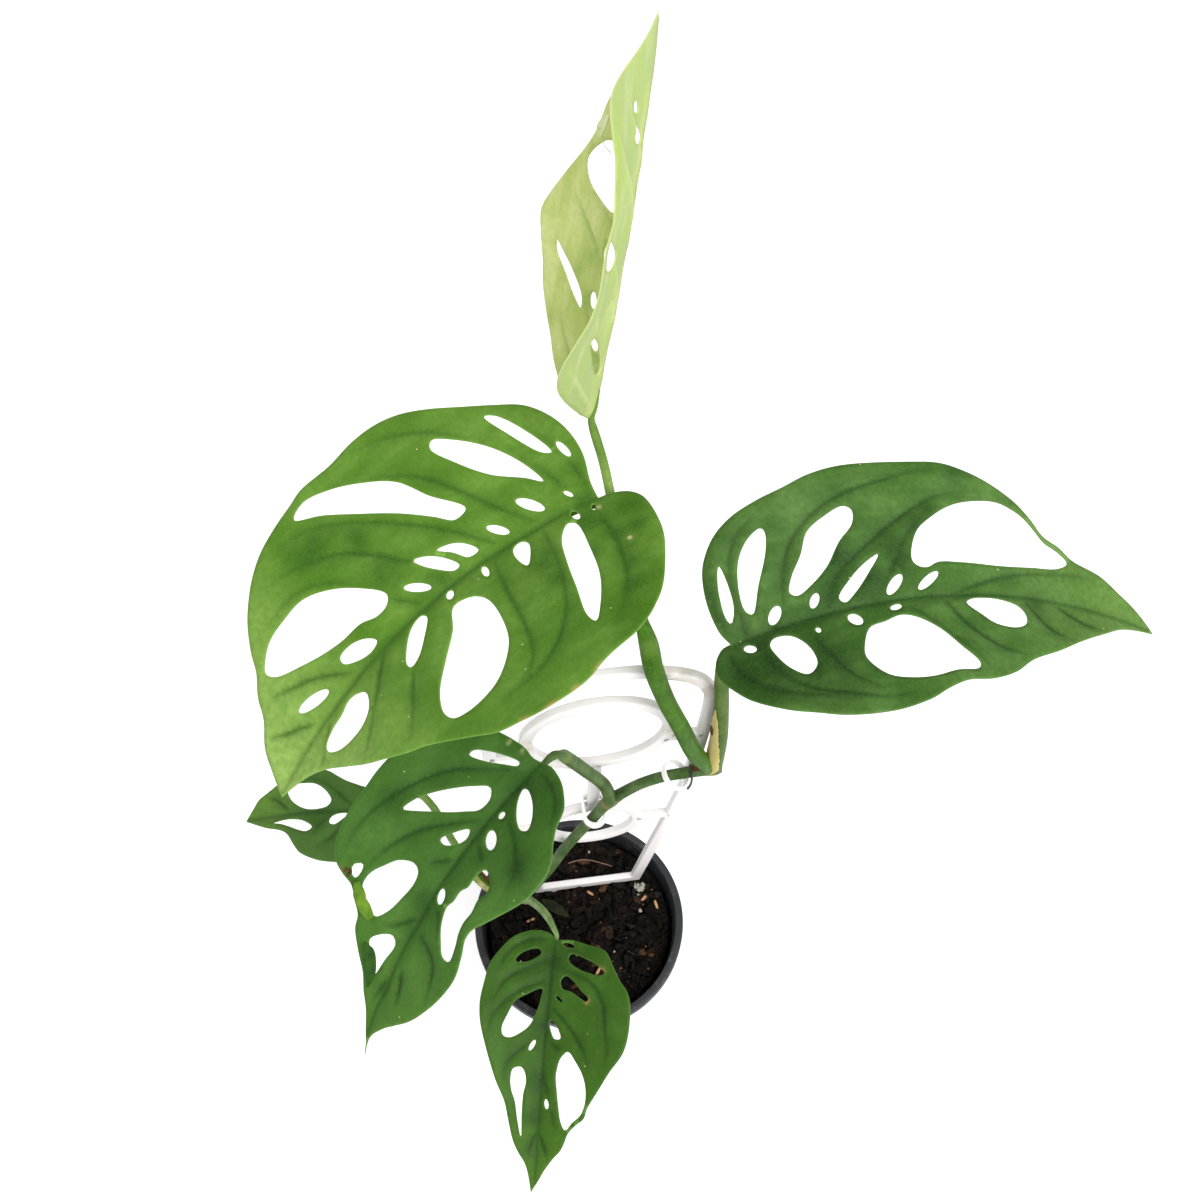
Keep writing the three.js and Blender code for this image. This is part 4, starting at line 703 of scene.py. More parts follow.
def path_distance(points, path):
    """Distance to a path and the share of its length where that is."""
    best, share = np.full(len(points), 1e9), np.zeros(len(points))
    lengths = np.linalg.norm(np.diff(path, axis=0), axis=1)
    total, done = lengths.sum(), 0.0
    for a, b, length in zip(path[:-1], path[1:], lengths):
        way = (b - a) / max(length, 1e-9)
        t = np.clip((points - a) @ way, 0, length)
        d = np.linalg.norm(points - a - t[:, None] * way, axis=1)
        nearer = d < best
        best = np.where(nearer, d, best)
        share = np.where(nearer, (done + t) / total, share)
        done += length
    return best, share


def flat_blade(leaf, veins):
    """The flat blade, with points along its veins: points, triangles and the points of its edges."""
    loops = blade_loops(leaf)
    edge = np.vstack(loops)
    low, high = edge.min(axis=0), edge.max(axis=0)
    midrib = np.arange(1, high[0], VEIN_STEP)
    lines = [np.stack([midrib, np.zeros(len(midrib))], axis=1)] + [resample(v, VEIN_STEP) for v in veins]
    points, edges, placed = [], [], []
    for loop in loops:
        first = len(points)
        points.extend(loop)
        edges.extend((first + i, first + (i + 1) % len(loop)) for i in range(len(loop)))
    for line in lines:
        keep = on_blade(loops, line) & (away_from(line, edge) > 0.7 * EDGE_STEP)
        if placed:
            keep &= away_from(line, placed) > 0.7 * VEIN_STEP
        before = None
        for i in np.flatnonzero(keep):
            points.append(line[i])
            if before == i - 1:
                edges.append((len(points) - 2, len(points) - 1))
            before = i
        placed.extend(line[keep])
    columns = np.arange(low[0], high[0], FIELD_STEP)
    levels = np.arange(low[1], high[1], FIELD_STEP * 0.87)
    field = np.array([(x + (r % 2) * FIELD_STEP / 2, y) for r, y in enumerate(levels) for x in columns])
    field = field[on_blade(loops, field) & (away_from(field, edge) > 0.75 * FIELD_STEP)]
    points.extend(field[away_from(field, placed) > 0.7 * FIELD_STEP])
    made = delaunay_2d_cdt([Vector((float(x), float(y))) for x, y in points], edges, [], 0, 1e-5)
    xy = np.array([tuple(p) for p in made[0]])
    triangles = np.array([f for f in made[2] if len(f) == 3])
    triangles = triangles[on_blade(loops, xy[triangles].mean(axis=1))]
    a, b, c = (xy[triangles[:, k]] for k in range(3))
    turn = (b[:, 0] - a[:, 0]) * (c[:, 1] - a[:, 1]) - (b[:, 1] - a[:, 1]) * (c[:, 0] - a[:, 0])
    triangles = np.where(turn[:, None] > 0, triangles, triangles[:, ::-1])[np.abs(turn) > 1e-6]
    used, compact = np.unique(triangles, return_inverse=True)
    return xy[used], compact.reshape(triangles.shape), edge


def make_blade(name, leaf):
    """A blade with sunken veins above, raised ones below, and a thin rim round every edge."""
    size = leaf.size
    veins = [resample(spline(rows(v), even=True) * size, 2.0) for v in leaf.veins]
    flat, triangles, edge = flat_blade(leaf, veins)
    s, t = flat[:, 0], flat[:, 1]
    n = len(flat)
    length = s.max()
    margin = away_from(flat, edge)
    inland = 1 - np.exp(-margin / 3)
    crease, valley = np.zeros(n), np.zeros(n)
    for path in veins:
        distance, share = path_distance(flat, path)
        taper = np.clip((1 - share) / 0.45, 0, 1) ** 0.7 * np.clip((share + 0.25) / 0.4, 0, 1)
        crease = np.maximum(crease, taper * np.exp(-((distance / 0.6) ** 2)))
        valley = np.maximum(valley, taper * np.exp(-distance / 4))
    crease, valley = crease * inland, valley * inland
    slim = np.clip(1 - s / length, 0, 1) ** 0.5
    near_base = 1 - np.exp(-np.clip(s + 4, 0, None) / 8)
    midrib = np.exp(-((t / 0.9) ** 2)) * (0.35 + 0.65 * slim) * near_base
    trough = np.exp(-np.abs(t) / 4) * (0.4 + 0.6 * slim) * near_base
    swell = np.array([noise.noise((x / 24, y / 24, len(name))) for x, y in flat])
    quilt = np.array([noise.noise((x / 8, y / 8, 3.0 + len(name))) for x, y in flat])
    lift = RELIEF.swell * swell * inland + RELIEF.quilt * quilt * inland - RELIEF.valley * valley
    lift = lift - RELIEF.crease * crease - RELIEF.trough * trough - RELIEF.midrib * midrib
    half = EDGE_HALF + HALF_GAIN * (1 - np.exp(-margin / 1.5))
    place = blade_surface(leaf)
    points = [place(s, t, lift + half), place(s, t, lift - half - 0.7 * midrib * inland - 0.35 * crease)]
    values = {
        "crease": crease, "valley": valley, "midrib": midrib, "trough": trough,
        "margin": np.exp(-margin / 0.8), "along": s / length, "s": s, "t": t,
    }
    for kind in MARK_KINDS:
        values[kind] = np.zeros(n)
        for at_s, at_t, reach in rows(getattr(leaf, kind, []), 3):
            near = np.hypot(s - at_s * size, t - at_t * size) / (reach * size)
            values[kind] = np.maximum(values[kind], np.exp(-(near**2)))
    values["dry"] *= np.exp(-margin / 0.9)
    attributes = {key: np.tile(value, 2) for key, value in values.items()}
    attributes["under"] = np.repeat((0.0, 1.0), n)
    shape = np.vstack(points), both_sides([tuple(f) for f in triangles], n)
    add_piece(name + "_blade", shape, blade_material(name, leaf), name, **attributes)


def blade_material(name, leaf):
    base, body, light, deep, tip, under = (paint(c) for c in leaf.colors)
    m = Material(name, base)
    along, margin = m.attribute("along"), m.attribute("margin")
    # The blade's green, from darker near the base to paler at the tip, partly its own colour and partly
    # painted shade near the base and painted light at the tip; then clouds and streaks along it.
    m.over(m.range(along, -0.05, 0.45), body)
    m.layer(light, (24, 2), 0.4, 0.68, 0.75)
    m.layer(base, (75, 4), 0.45, 0.72, 0.35)
    streaks = m.range(m.blade_noise(0.035, 0.13, 4), 0.4, 0.65, 0, leaf.streaked)
    m.over(streaks, base)
    m.over(m.range(along, 0.6, 1.05, 0, 0.9), tip)
    glow = m.range(m.blade_noise(0.03, 0.09, 3), 0.52, 0.7, 0, leaf.streaked)
    m.over(glow, light)
    # Darker and paler places of this very leaf: partly its own patches, partly painted shade where it is
    # darker and painted light where it is paler.
    ragged = m.patches((110, 3), 0.3, 0.6, 0.35, 0.9)
    darker = tuple(0.35 * a + 0.65 * b for a, b in zip(base, deep))
    m.over(m.times(m.attribute("dark"), ragged), darker)
    m.over(m.times(m.attribute("pale"), m.times(ragged, 0.8)), light)
    # Painted shade in the valleys beside the sunken veins and in the midrib's trough, then the veins' dark
    # lines, the net between them, and fine grain.
    shade = m.math("MAXIMUM", m.attribute("valley"), m.attribute("trough"))
    m.over(m.times(shade, 0.42), deep)
    line = m.math("MAXIMUM", m.attribute("crease"), m.attribute("midrib"))
    m.over(m.times(line, 0.75), deep)
    net = m.node("TexVoronoi", Scale=330, Vector=m.coords)
    net.feature = "DISTANCE_TO_EDGE"
    m.over(m.times(m.range(net.outputs["Distance"], 0.0, 0.07, 1, 0), 0.1), deep)
    m.layer(base, (380, 4), 0.36, 0.66, 0.3)
    m.layer(light, (1100, 3), 0.35, 0.7, 0.16)
    # The underside, the rim, dry spots, and pale specks: pale dots on leaf_middle and painted glints on
    # leaf_big_left; then tiny pale dots all over.
    below = m.mix(m.times(glow, 0.35), m.mix(streaks, under, base), light)
    below = m.mix(m.times(line, 0.35), below, light)
    m.over(m.attribute("under"), below)
    pale_rim = tuple(min(1.0, 1.5 * c + 0.03) for c in light[:3]) + (1,)
    m.over(m.times(m.math("POWER", margin, 5.0), leaf.rim), pale_rim)
    m.over(m.attribute("dry"), paint((188, 154, 96)))
    m.over(m.attribute("speck"), paint((216, 208, 150)))
    dots = m.node("TexVoronoi", Scale=100, Vector=m.coords).outputs["Distance"]
    m.over(m.range(dots, 0.024, 0.04, 1, 0), paint((206, 214, 160)))
    gloss = m.mix(m.attribute("under"), m.patches((60, 3), 0.3, 0.7, 0.42, 0.56), (0.68, 0.68, 0.68, 1))
    return m.finish(gloss, 0.12, (420, 4), 0.35, 0.0006)


def stem_material(name, colors):
    body, light, deep = (paint(c) for c in colors)
    m = Material(name + "_stem", body)
    m.layer(light, (60, 3), 0.35, 0.65)
    m.layer(deep, (420, 3, (1, 1, 0.08)), 0.45, 0.7, 0.45)
    m.layer(paint((176, 190, 140)), (900, 2), 0.66, 0.74, 0.4)
    m.over(m.attribute("joint"), paint((156, 178, 106)))
    m.over(m.attribute("scar"), paint((146, 122, 80)))
    gloss = m.patches((200, 3), 0.3, 0.7, 0.4, 0.55)
    return m.finish(gloss, 0.06, (500, 3, (1, 1, 0.15)), 0.35, 0.0004)


def make_petiole(name, leaf):
    """The stalk of a leaf, slightly ridged, paler where it bends, running on a little under its blade."""
    place = blade_surface(leaf)
    sink = YOUNG_STALK_SINK if name == "leaf_top_new" else STALK_SINK
    under = [[*place([s], [0], [0.2 * i - sink])[0], 1.2 - 0.45 * i] for i, s in enumerate((4, 12))]
    stalk = rows(leaf.petiole, 4)
    stalk[-1, :3] = stalk[-1, :3] + place([0], [0], [1 - sink])[0] - place([0], [0], [0])[0]
    stalk[-1, 3] *= 0.85
    shape, along = tube(np.vstack([stalk, under]), sides=22, ridges=5, ridge_height=0.035)
    bend = stalk[np.argmax(stalk[:-2, 3] - stalk[1:-1, 3]), :3]
    joint = 0.6 * np.exp(-((np.linalg.norm(shape[0] - bend, axis=1) / 4) ** 2))
    scar = 0.7 * np.exp(-((along / 1.2) ** 2))
    add_piece(name + "_petiole", shape, stem_material(name, leaf.stem), name, scar=scar, joint=joint)


def make_vine():
    shape, _ = tube(VINE, spacing=1.2, sides=26, ridges=7, ridge_height=0.02)
    scar = np.zeros(len(shape[0]))
    for *node, radius in VINE:
        if radius > NODE_RADIUS:
            d = np.linalg.norm(shape[0] - np.array(node), axis=1)
            scar = np.maximum(scar, np.exp(-(((d - 5.2) / 0.7) ** 2)) * 0.8)
    stem = stem_material("vine_stem", VINE_COLORS)
    add_piece("vine", shape, stem, "vine_stem", scar=scar, joint=0.5 * scar)


# ---- sheaths, strips and scraps ----

# Old sheaths: material, node, from and to which share of its stalk, facing, half-angle and gap at each end.
SHEATHS = {
    "right_sheath": ("cream", "leaf_right", 0, 0.6, (-0.72, -0.7, 0.1), (62, 14), (1.5, 0.3)),
    "sheath_spot": ("husk", "leaf_right", 0.38, 0.45, (-0.9, -0.4, 0.1), (18, 18), (0.9, 0.9)),
    "vine_husk": ("husk", "vine_stem", 0.945, 0.985, (-0.1, 0.3, 1), (48, 42), (0.3, 0.5)),
    "low_sheath": ("striped", "leaf_left_low", 0.1, 0.36, (-0.6, -0.6, 0.5), (62, 48), (0.8, 1.9)),
    "low_sheath_edge": ("husk", "leaf_left_low", 0.14, 0.32, (0.5, 0.4, 0.6), (30, 24), (0.9, 1.4)),
    "front_sheath": ("winged", "leaf_front", 0.25, 0.9, (-0.6, -0.5, 0.8), (52, 34), (0.5, 0.3)),
}
SHEATH_THICKNESS, STRIP_THICKNESS = 0.35, 0.4


def sheet(grid, thickness):
    """A thin closed sheet over a grid of points."""
    g = np.asarray(grid, float)
    lines, columns = g.shape[:2]
    normal = np.cross(np.gradient(g, axis=0), np.gradient(g, axis=1))
    normal /= np.maximum(np.linalg.norm(normal, axis=2, keepdims=True), 1e-9)
    points = np.vstack([(g + side * normal * thickness / 2).reshape(-1, 3) for side in (1, -1)])
    corners = [i * columns + j for i in range(lines - 1) for j in range(columns - 1)]
    return points, both_sides([(a, a + columns, a + columns + 1, a + 1) for a in corners], lines * columns)


def sheath(stations, start, end, facing, spread, gap):
    """A sheet hugging one side of a stalk between two shares of its length, with a ragged edge."""
    path = resample(spline(stations, even=True), 0.8)
    first, last = (int(share * (len(path) - 1)) for share in (start, end))
    grid = []
    for k in range(first, last + 1):
        way = unit(path[min(k + 1, len(path) - 1), :3] - path[k - 1, :3])
        front = np.array(facing, float)
        front = unit(front - front.dot(way) * way)
        side = np.cross(way, front)
        share = (k - first) / max(last - first, 1)
        half = spread[0] + (spread[1] - spread[0]) * share
        reach = path[k, 3] * 1.03 + gap[0] + (gap[1] - gap[0]) * share
        half *= min(1.0, 0.2 + 6 * min(share, 1 - share)) * (1 + 0.2 * noise.noise((k / 5, 3.3, 1.1)))
        angles = np.radians(np.linspace(-half, half, 11))
        grid.append([path[k, :3] + reach * (front * math.cos(a) + side * math.sin(a)) for a in angles])
    return sheet(grid, SHEATH_THICKNESS)


def ribbon(stations):
    """A curled strip along (x, y, z, width, turn in degrees)."""
    path = resample(spline(stations, even=True), 1.0)
    grid = []
    for (*centre, width, turn), way in zip(path, unit(np.gradient(path[:, :3], axis=0))):
        across = unit(np.cross(way, (0, 0, 1.0)))
        lift = np.cross(across, way)
        c, s = math.cos(math.radians(turn)), math.sin(math.radians(turn))
        row = []
        for u in np.linspace(-0.5, 0.5, 9):
            curl = 0.35 * width * (0.25 - u * u)
            row.append(centre + across * (u * width * c + curl * s) + lift * (u * width * s - curl * c))
        grid.append(row)
    return sheet(grid, STRIP_THICKNESS)


def make_remnants():
    """Old leaf sheaths and dry scraps along the plant."""
    looks = {
        "cream": two_tone("cream_sheath", (222, 202, 138), (196, 186, 108), 220, (1, 1, 0.15)),
        "husk": two_tone("brown_husk", (120, 82, 52), (84, 58, 38), 400),
        "striped": two_tone("striped_sheath", (206, 198, 138), (128, 148, 62), 160, (1, 1, 0.2)),
        "winged": two_tone("winged_sheath", (158, 178, 132), (122, 150, 92), 200, (1, 1, 0.2)),
        "fresh": two_tone("curled_strip", (118, 156, 48), (64, 108, 26), 150),
        "lush": two_tone("curled_edge", (48, 84, 12), (60, 100, 20), 200, (1, 1, 0.3)),
        "torn": two_tone("torn_edge", (242, 248, 200), (226, 240, 166), 200),
        "olive": two_tone("dry_leaflet", (58, 62, 36), (36, 34, 22), 150),
    }
    for name, (look, node, *form) in SHEATHS.items():
        stalk = VINE if node == "vine_stem" else rows(LEAVES[node].petiole, 4)
        add_piece(name, sheath(stalk, *form), looks[look], node)
    strips = (("curled_strip", "fresh", "leaf_middle"), ("curled_edge", "lush", "leaf_middle"),
              ("torn_tab", "torn", "leaf_top_new"), ("dry_leaflet", "olive", "soil"))
    for name, look, node in strips:
        add_piece(name, ribbon(STRIPS[name]), looks[look], node)
    add_piece("curled_thread", tube(THREAD, spacing=0.6, sides=8)[0], looks["torn"], "leaf_top_new")
    r = random.Random(SEEDS.scraps)
    scraps = []
    for place in SCRAPS:
        turn = Matrix.Rotation(r.uniform(0, 3), 4, (0.3, 0.5, 1))
        scraps.append(chip(r, SCRAP_SIZE, place, turn))
    add_piece("dry_scraps", merged(scraps), looks["husk"], "leaf_middle")


# ---- pot and bark ----


def ring_points(radius, z, sides, centre=(0, 0)):
    x, y = centre
    return [(x + radius * math.cos(a), y + radius * math.sin(a), z) for a in turns(sides)]


def make_pot():
    """The pot, turned from its profile, with its drain holes cut through the floor."""
    rim, base, wall, floor, hub = POT.rim, POT.base, POT.wall, POT.floor, POT.hub
    top, shoulder = POT.height, rim - POT.step
    under = top - POT.lip
    profile = [
        (hub, 0), (base - 12, 0), (base - 9, 0.5), (base - 6, 0.5), (base - 4.5, 0), (base - 1.5, 0),
        (base - 0.4, 0.4), (base, 1.5), (base + 0.6, 6), (shoulder - 0.4, under - 3),
        (shoulder, under - 1.2), (shoulder + 0.6, under - 0.5), (rim - 0.9, under - 0.1),
        (rim - 0.2, under + 0.4), (rim, under + 1.5), (rim, top - 1.7), (rim - 0.4, top - 0.6),
        (rim - 1.3, top - 0.05), (rim - 3.4, top), (rim - 4.5, top - 0.4), (rim - 5, top - 1.6),
        (rim - 5.2, under + 1), (shoulder - wall, under - 3), (base - wall, floor + 1),
        (base - wall - 1, floor), (hub, floor),
    ]
    points = [p for r, z in profile for p in ring_points(r, z, POT.sides)]
    drills, sides = [], POT.drain_sides
    for x, y, _ in ring_points(POT.drain_circle, 0, POT.drains):
        drill = [p for z in (-5, 5) for p in ring_points(POT.drain_radius, z, sides, (x, y))]
        caps = [tuple(reversed(range(sides))), tuple(range(sides, 2 * sides))]
        drills.append((drill, caps + bands(2, sides)))
    raw = put("pot_raw", new_mesh("pot_raw", points, bands(len(profile), POT.sides, closed=True)))
    cutter = put("drills", new_mesh("drills", *merged(drills)))
    boolean = raw.modifiers.new("drains", "BOOLEAN")
    boolean.operation, boolean.solver, boolean.object = "DIFFERENCE", "EXACT", cutter
    done = bpy.data.meshes.new_from_object(raw.evaluated_get(bpy.context.evaluated_depsgraph_get()))
    shape = np.array([v.co for v in done.vertices]) / MM, [tuple(p.vertices) for p in done.polygons]
    for made in (raw, cutter):
        bpy.data.objects.remove(made)
    m = Material("pot_plastic", linear((43, 44, 47)))
    m.layer(linear((55, 57, 61)), (40, 4), 0.35, 0.7)
    m.layer(linear((96, 100, 108)), (220, 4, (1, 1, 0.2)), 0.62, 0.74, 0.35)
    m.layer(linear((118, 110, 100)), (90, 5), 0.6, 0.74, 0.3)
    look = m.finish(m.patches((120, 3), 0.3, 0.7, 0.4, 0.6), 0.22, (1500, 2), 0.15, 0.0001)
    add_piece("nursery_pot", shape, look, "pot", sharp=35)


def uneven(x, y):
    """How far the bed rises above the soil's level."""
    return 1.1 * (math.sin(0.31 * x + 1.3) * math.cos(0.27 * y) + 0.6 * math.sin(0.53 * x - 0.47 * y))


def make_bed():
    """The mix under the loose chips: a full plug with a crumbly top."""
    sides, rings, wide = BED.sides, BED.rings, BED.top_radius
    points = [(0, 0, BED.floor), (0, 0, SOIL_LEVEL), *ring_points(BED.foot_radius, BED.floor, sides)]
    points += ring_points(wide, BED.shoulder, sides)
    for k in range(rings - 1, 0, -1):
        for x, y, _ in ring_points(wide * k / rings, 0, sides):
            crumb = noise.noise((x / 3, y / 3, 0)) + 0.5 * noise.noise((x / 1.2, y / 1.2, 5))
            points.append((x, y, SOIL_LEVEL - 1.2 + uneven(x, y) + 1.3 * crumb))
    last = len(points) - sides
    faces = bands(rings + 1, sides, first=2)
    for i in range(sides):
        j = (i + 1) % sides
        faces += [(0, 2 + j, 2 + i), (1, last + i, last + j)]
    return points, faces


def chip(draw, size, place, turn):
    """One rough piece of bark: a slab of 4 by 3 by 2 cells with its corners moved about."""
    cells = (4, 3, 2)
    index, points, faces = {}, [], []
    seed = Vector((draw.uniform(0, 100), 0, 0))
    for key in np.ndindex(*(c + 1 for c in cells)):
        if any(k in (0, c) for k, c in zip(key, cells)):
            p = Vector([2 * k / c - 1 for k, c in zip(key, cells)])
            round_ = 1 - 0.16 * (abs(p.x) > 0.9) * (abs(p.y) > 0.9) - 0.1 * (abs(p.z) > 0.9)
            q = Vector((p.x * round_, p.y * round_, p.z)) + noise.noise_vector(p * 1.7 + seed) * 0.5
            index[key] = len(points)
            points.append(q * Vector(size))
    for axis in range(3):
        u, v = [a for a in range(3) if a != axis]
        for side in (0, cells[axis]):
            for a, b in np.ndindex(cells[u], cells[v]):
                corners = []
                for da, db in ((0, 0), (1, 0), (1, 1), (0, 1)):
                    key = [side] * 3
                    key[u], key[v] = a + da, b + db
                    corners.append(index[tuple(key)])
                faces.append(tuple(corners[::-1] if (side == 0) != (axis == 1) else corners))
    turned = turn.to_quaternion().to_matrix()
    return [tuple(turned @ p + Vector(place)) for p in points], faces


def spot(draw, radius):
    """A random place on the bed."""
    a, reach = draw.uniform(0, FULL_TURN), radius * math.sqrt(draw.random())
    return reach * math.cos(a), reach * math.sin(a)


def lay(draw, size, x, y, above, turn):
    """A chip lying on the bed, turned about the vertical."""
    return chip(draw, size, (x, y, SOIL_LEVEL + uneven(x, y) + above), Matrix.Rotation(turn, 4, "Z"))


def make_bark():
    parts, tones = [make_bed()], [0.12]
    r = random.Random(SEEDS.bark)
    (quick, full), radius = CHIPS
    for _ in range(full):
        x, y = spot(r, radius)
        big = r.random() ** 2.2
        size = (0.9 + 4.4 * big, 0.7 + 2.4 * big * r.uniform(0.5, 1), 0.5 + 1.3 * big)
        turn = Matrix.Rotation(r.uniform(0, 6.3), 4, "Z") @ Matrix.Rotation(r.gauss(0, 0.5), 4, "X")
        turn = turn @ Matrix.Rotation(r.gauss(0, 0.4), 4, "Y")
        parts.append(chip(r, size, (x, y, SOIL_LEVEL + uneven(x, y) + r.uniform(-0.9, 0.6)), turn))
        tones.append(r.random())
    tone = np.repeat(tones, [len(points) for points, _ in parts])
    add_piece("bark_mix", merged(parts), bark_material(), "soil", sharp=40, tone=tone)
    grains = [lay(r, (h, h * 0.75, h * 0.6), x, y, 1.2, turn) for x, y, h, turn in PERLITE]
    white = plain("perlite", (186, 180, 168), (112, 104, 92), (900, 3), 0.9)
    add_piece("perlite", merged(grains), white, "soil")
    (quick, full), radius = FLECKS
    flecks = []
    for _ in range(full):
        x, y = spot(r, radius)
        half, turn = r.uniform(0.3, 0.9), r.uniform(0, 6.3)
        flecks.append(lay(r, (half, half * 0.6, half * 0.4), x, y, r.uniform(0.6, 1.3), turn))
    tan = two_tone("tan_flecks", (150, 112, 72), (104, 74, 48), 500)
    add_piece("tan_flecks", merged(flecks), tan, "soil")
    slivers = [lay(r, (h, 0.8, 0.5), x, y, 1.5, turn) for x, y, h, turn in SLIVERS]
    wood = plain("wood_slivers", (150, 92, 52), (206, 166, 122), (400, 4, (1, 0.2, 1)), 0.85)
    add_piece("wood_slivers", merged(slivers), wood, "soil")
    brown = plain("root", (150, 116, 96), (104, 76, 58), (300, 3), 0.8)
    add_piece("surface_root", tube(ROOT, spacing=1, sides=10)[0], brown, "soil")


def bark_material():
    m = Material("bark", linear((5, 4, 3)))
    tone, damp = m.attribute("tone"), m.patches((60, 3), 0.42, 0.58)
    m.over(tone, linear((19, 14, 11)))
    m.layer(linear((42, 30, 21)), (110, 3), 0.5, 0.66, 0.7)
    m.over(m.range(tone, 0.94, 0.98, 0, 0.8), linear((96, 68, 46)))
    m.layer(linear((36, 26, 19)), (500, 5, (1, 0.3, 1)), 0.48, 0.72, 0.5)
    m.over(m.times(damp, 0.7), linear((6, 5, 4)))
    m.layer(linear((116, 88, 60)), (1300, 3), 0.67, 0.74, 0.55)
    return m.finish(m.range(damp, 0, 1, 0.85, 0.5), 0.12, (700, 5, (1, 0.4, 1)), 0.8, 0.001)


# ---- trellis, clips and tie ----


def panel_place(points):
    """Points of the trellis panel (across, through, up) in the part's frame."""
    yaw, lean = math.radians(TRELLIS.yaw), math.radians(TRELLIS.lean)
    turn = Matrix.Rotation(yaw, 3, "Z") @ Matrix.Rotation(lean, 3, "Y")
    return np.asarray(points, float) @ np.array(turn).T + np.array(TRELLIS.foot)


def rounded(width, depth, radius, steps=4):
    """A rounded rectangle as (in the panel's plane, through it) points."""
    found = []
    for cx, cy, start in ((1, 1, 0), (-1, 1, 90), (-1, -1, 180), (1, -1, 270)):
        for a in (math.radians(start + 90 * i / steps) for i in range(steps + 1)):
            x, y = cx * (width / 2 - radius), cy * (depth / 2 - radius)
            found.append((x + radius * math.cos(a), y + radius * math.sin(a)))
    return found


def bar(path, width, closed=False, depth=TRELLIS.depth, radius=1.0, taper=1):
    """A bar swept along (across, up) points of the panel, with softened edges."""
    p = np.asarray(path, float)
    n = len(p)
    section = rounded(width, depth, radius)
    points = []
    for i in range(n):
        before = unit(p[i] - p[i - 1] if closed or i else p[1] - p[0])
        after = unit(p[(i + 1) % n] - p[i] if closed or i + 1 < n else p[-1] - p[-2])
        middle = unit(before + after)
        out = np.array((middle[1], -middle[0])) / max(middle.dot(after), 0.4)
        out = out * (1 + (taper - 1) * i / (n - 1))
        points += [(p[i][0] + out[0] * a, b, p[i][1] + out[1] * a) for a, b in section]
    m = len(section)
    faces = bands(n, m, closed=closed)
    if not closed:
        faces += [tuple(reversed(range(m))), tuple(range((n - 1) * m, n * m))]
    return points, faces


def make_trellis():
    """Outer hoop, two rings, centre post, rungs and legs."""
    width = TRELLIS.bar
    side = np.vstack([FRAME_SIDE[:2], resample(spline(FRAME_SIDE[2:]), 3.0)])
    parts = [bar(np.vstack([side, side[::-1][1:] * (-1, 1)]), width, closed=True)]
    rings = (low_h, low_r), (high_h, high_r) = TRELLIS.low_ring, TRELLIS.high_ring
    a = np.linspace(0, 2 * np.pi, TRELLIS.ring_sides, endpoint=False)
    for h, r in rings:
        parts.append(bar(np.stack([r * np.sin(a), h + r * np.cos(a)], axis=1), width, closed=True))
    parts.append(bar([(0, low_h + low_r), (0, high_h - high_r)], width))
    widths, heights = zip(*FRAME_SIDE[:5])
    for (h, r), rung in zip(rings, TRELLIS.rungs):
        inner, outer = math.sqrt(r**2 - (rung - h) ** 2), float(np.interp(rung, heights, widths))
        for sign in (-1, 1):
            parts.append(bar([(sign * inner, rung), (sign * outer, rung)], TRELLIS.rung))
    for w in (-TRELLIS.leg_side, TRELLIS.leg_side):
        parts.append(bar([(w, 0), (w, -TRELLIS.leg)], TRELLIS.leg_width, depth=TRELLIS.leg_depth,
                         radius=0.8, taper=TRELLIS.leg_taper))
    points, faces = merged(parts)
    dirt = np.zeros(len(points))
    for w, h, reach in DIRT:
        near = np.hypot(points[:, 0] - w, points[:, 2] - h)
        dirt = np.maximum(dirt, np.exp(-((near / reach) ** 2)))
    m = Material("trellis_plastic", linear((226, 222, 222)))
    m.layer(linear((219, 214, 212)), (25, 3), 0.35, 0.65)
    m.layer(linear((212, 196, 174)), (70, 5), 0.6, 0.75, 0.35)
    stains = m.times(m.range(m.attribute("dirt"), 0, 1, 0, 0.7), m.patches((160, 4), 0.3, 0.55))
    m.over(stains, linear((176, 158, 134)))
    look = m.finish(m.patches((140, 3), 0.3, 0.7, 0.32, 0.5), 0.45, (600, 2), 0.1, 0.0002)
    add_piece("trellis_panel", (panel_place(points), faces), look, "trellis", sharp=60, dirt=dirt)


def clip_material():
    m = Material("clip_plastic", linear((252, 252, 250)))
    m.over(m.noise(120, 3), linear((240, 240, 236)))
    return m.finish(m.patches((300, 2), 0.3, 0.7, 0.22, 0.36), 0.5, (700, 2), 0.08, 0.0002)


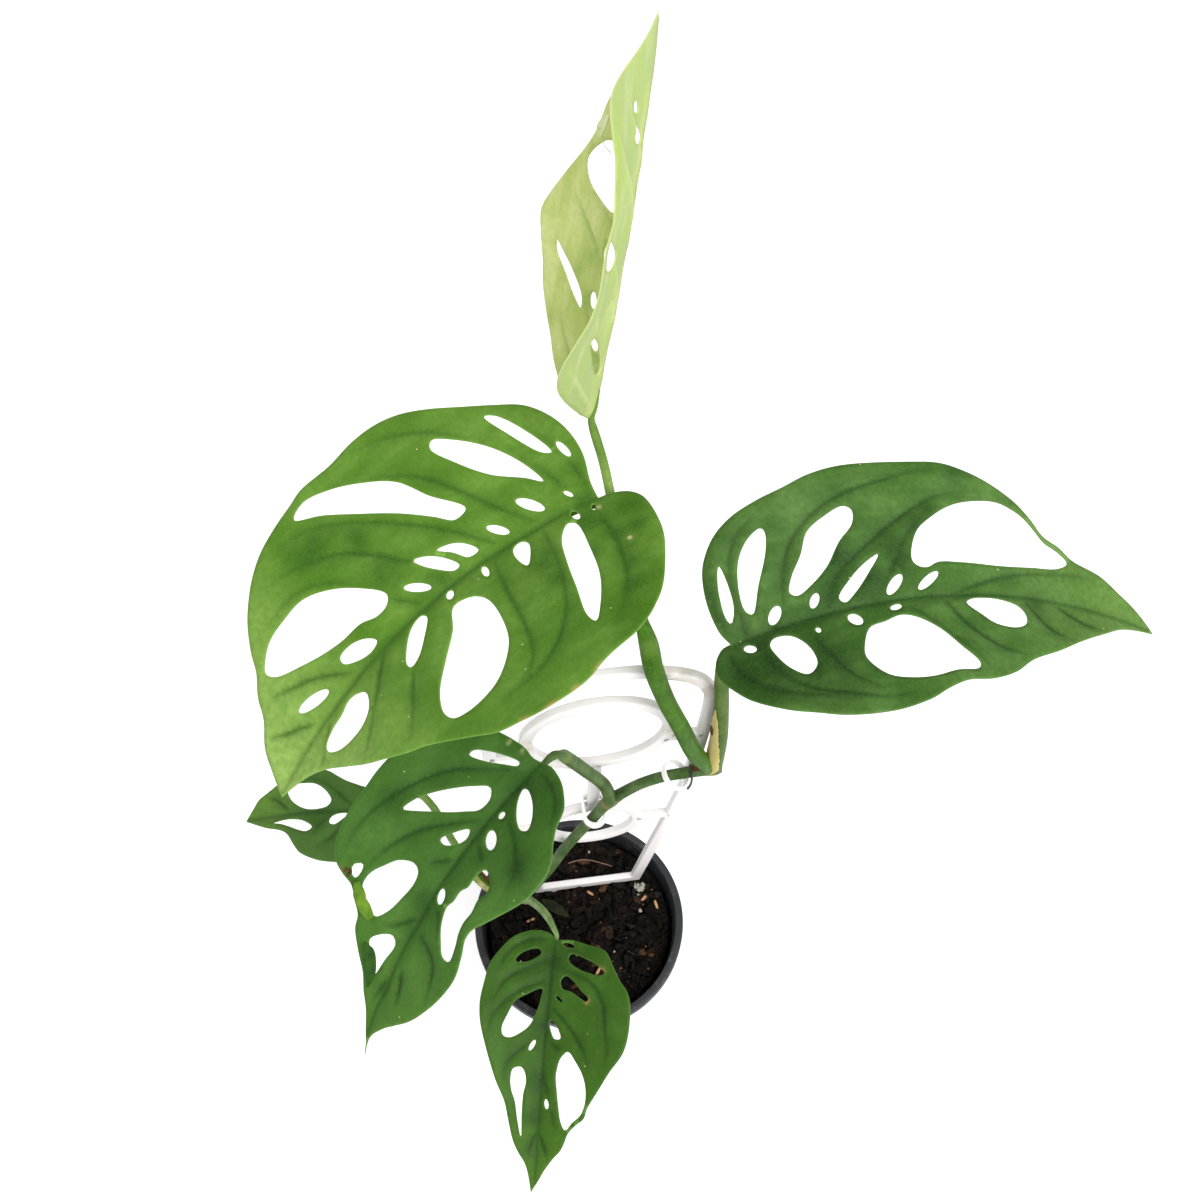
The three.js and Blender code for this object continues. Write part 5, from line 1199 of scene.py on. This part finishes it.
def make_strap():
    """The flat loop round post and vine: round in front, square behind."""
    s, soft = STRAP, STRAP.soft

    def outline(grow):
        r, corner = s.half_width + grow, 1.0 + grow
        y = s.back + grow - corner
        arcs = ((0, s.front, r, range(0, 33), 180, 5.625), (r - corner, y, corner, range(7), 0, 15),
                (corner - r, y, corner, range(7), 90, 15))
        line = []
        for x, y, radius, steps, start, step in arcs:
            line += [(x + radius * math.cos(a), y + radius * math.sin(a))
                     for a in (math.radians(start + step * k) for k in steps)]
        return line

    inner, outer = outline(0), outline(s.wall)
    low, high = s.h, s.h + s.height
    levels = [(outer, low + soft, 0), (outer, high - soft, 0), (outer, high, soft), (inner, high, -soft),
              (inner, high - soft, 0), (inner, low + soft, 0), (inner, low, -soft), (outer, low, soft)]
    points = []
    for line, h, pull in levels:
        for x, y in line:
            middle = Vector((x, y - s.front - 3)).normalized()
            points.append((s.w + x - middle.x * pull, y - middle.y * pull, h))
    shape = panel_place(points), bands(len(levels), len(inner), closed=True)
    add_piece("strap", shape, clip_material(), "strap_clip")


def make_hoop():
    """The flat hoop lying slantwise round the vine, and its body on the post."""
    sides, slant = HOOP.sides, math.radians(HOOP.slant)
    c, s = math.cos(slant), math.sin(slant)
    w, n, h = HOOP.place
    section = rounded(HOOP.wall, HOOP.height, 0.3, 3)
    points = []
    for a in turns(sides):
        for out, up in section:
            x, y = (HOOP.radius + out) * math.cos(a), (HOOP.radius + out) * math.sin(a)
            points.append((w + x * c + up * s, n + y, h - x * s + up * c))
    faces = [(f[0], f[3], f[2], f[1]) for f in bands(sides, len(section), closed=True)]
    w, through, h, width, depth, height = HOOP.body
    block, block_faces = bar([(w, h - height / 2), (w, h + height / 2)], width, depth=depth, radius=1.2)
    block = [(x, y + through, z) for x, y, z in block]
    points, faces = merged([(points, faces), (block, block_faces)])
    add_piece("hoop", (panel_place(points), faces), clip_material(), "hoop_clip", sharp=50)


def make_tie():
    """The wire twist over the vine, with a thicker end hanging."""
    (w, n, h), radius, tail = TIE.place, TIE.radius, TIE.tail
    arc = (math.radians(a) for a in range(42, 181, 10))
    line = [(w, n + radius * math.cos(a), h + radius * math.sin(a)) for a in arc]
    line += [(w, n - radius - 0.2, h - tail / 2), (w - 0.8, n - radius + 0.1, h - tail)]
    thick = np.full((len(line), 1), TIE.wire)
    thick[-1] *= TIE.end
    shape, _ = tube(np.hstack([panel_place(line), thick]), spacing=0.8, sides=12)
    black = plain("black_wire", (18, 18, 22), (40, 40, 46), (300, 2), 0.45)
    add_piece("tie", shape, black, "tie_wire")


# ---- the scene ----

make_camera()
make_studio()
make_pot()
make_bark()
make_trellis()
make_strap()
make_hoop()
make_tie()
make_vine()
make_remnants()
for leaf_name, leaf_data in LEAVES.items():
    make_blade(leaf_name, leaf_data)
    make_petiole(leaf_name, leaf_data)
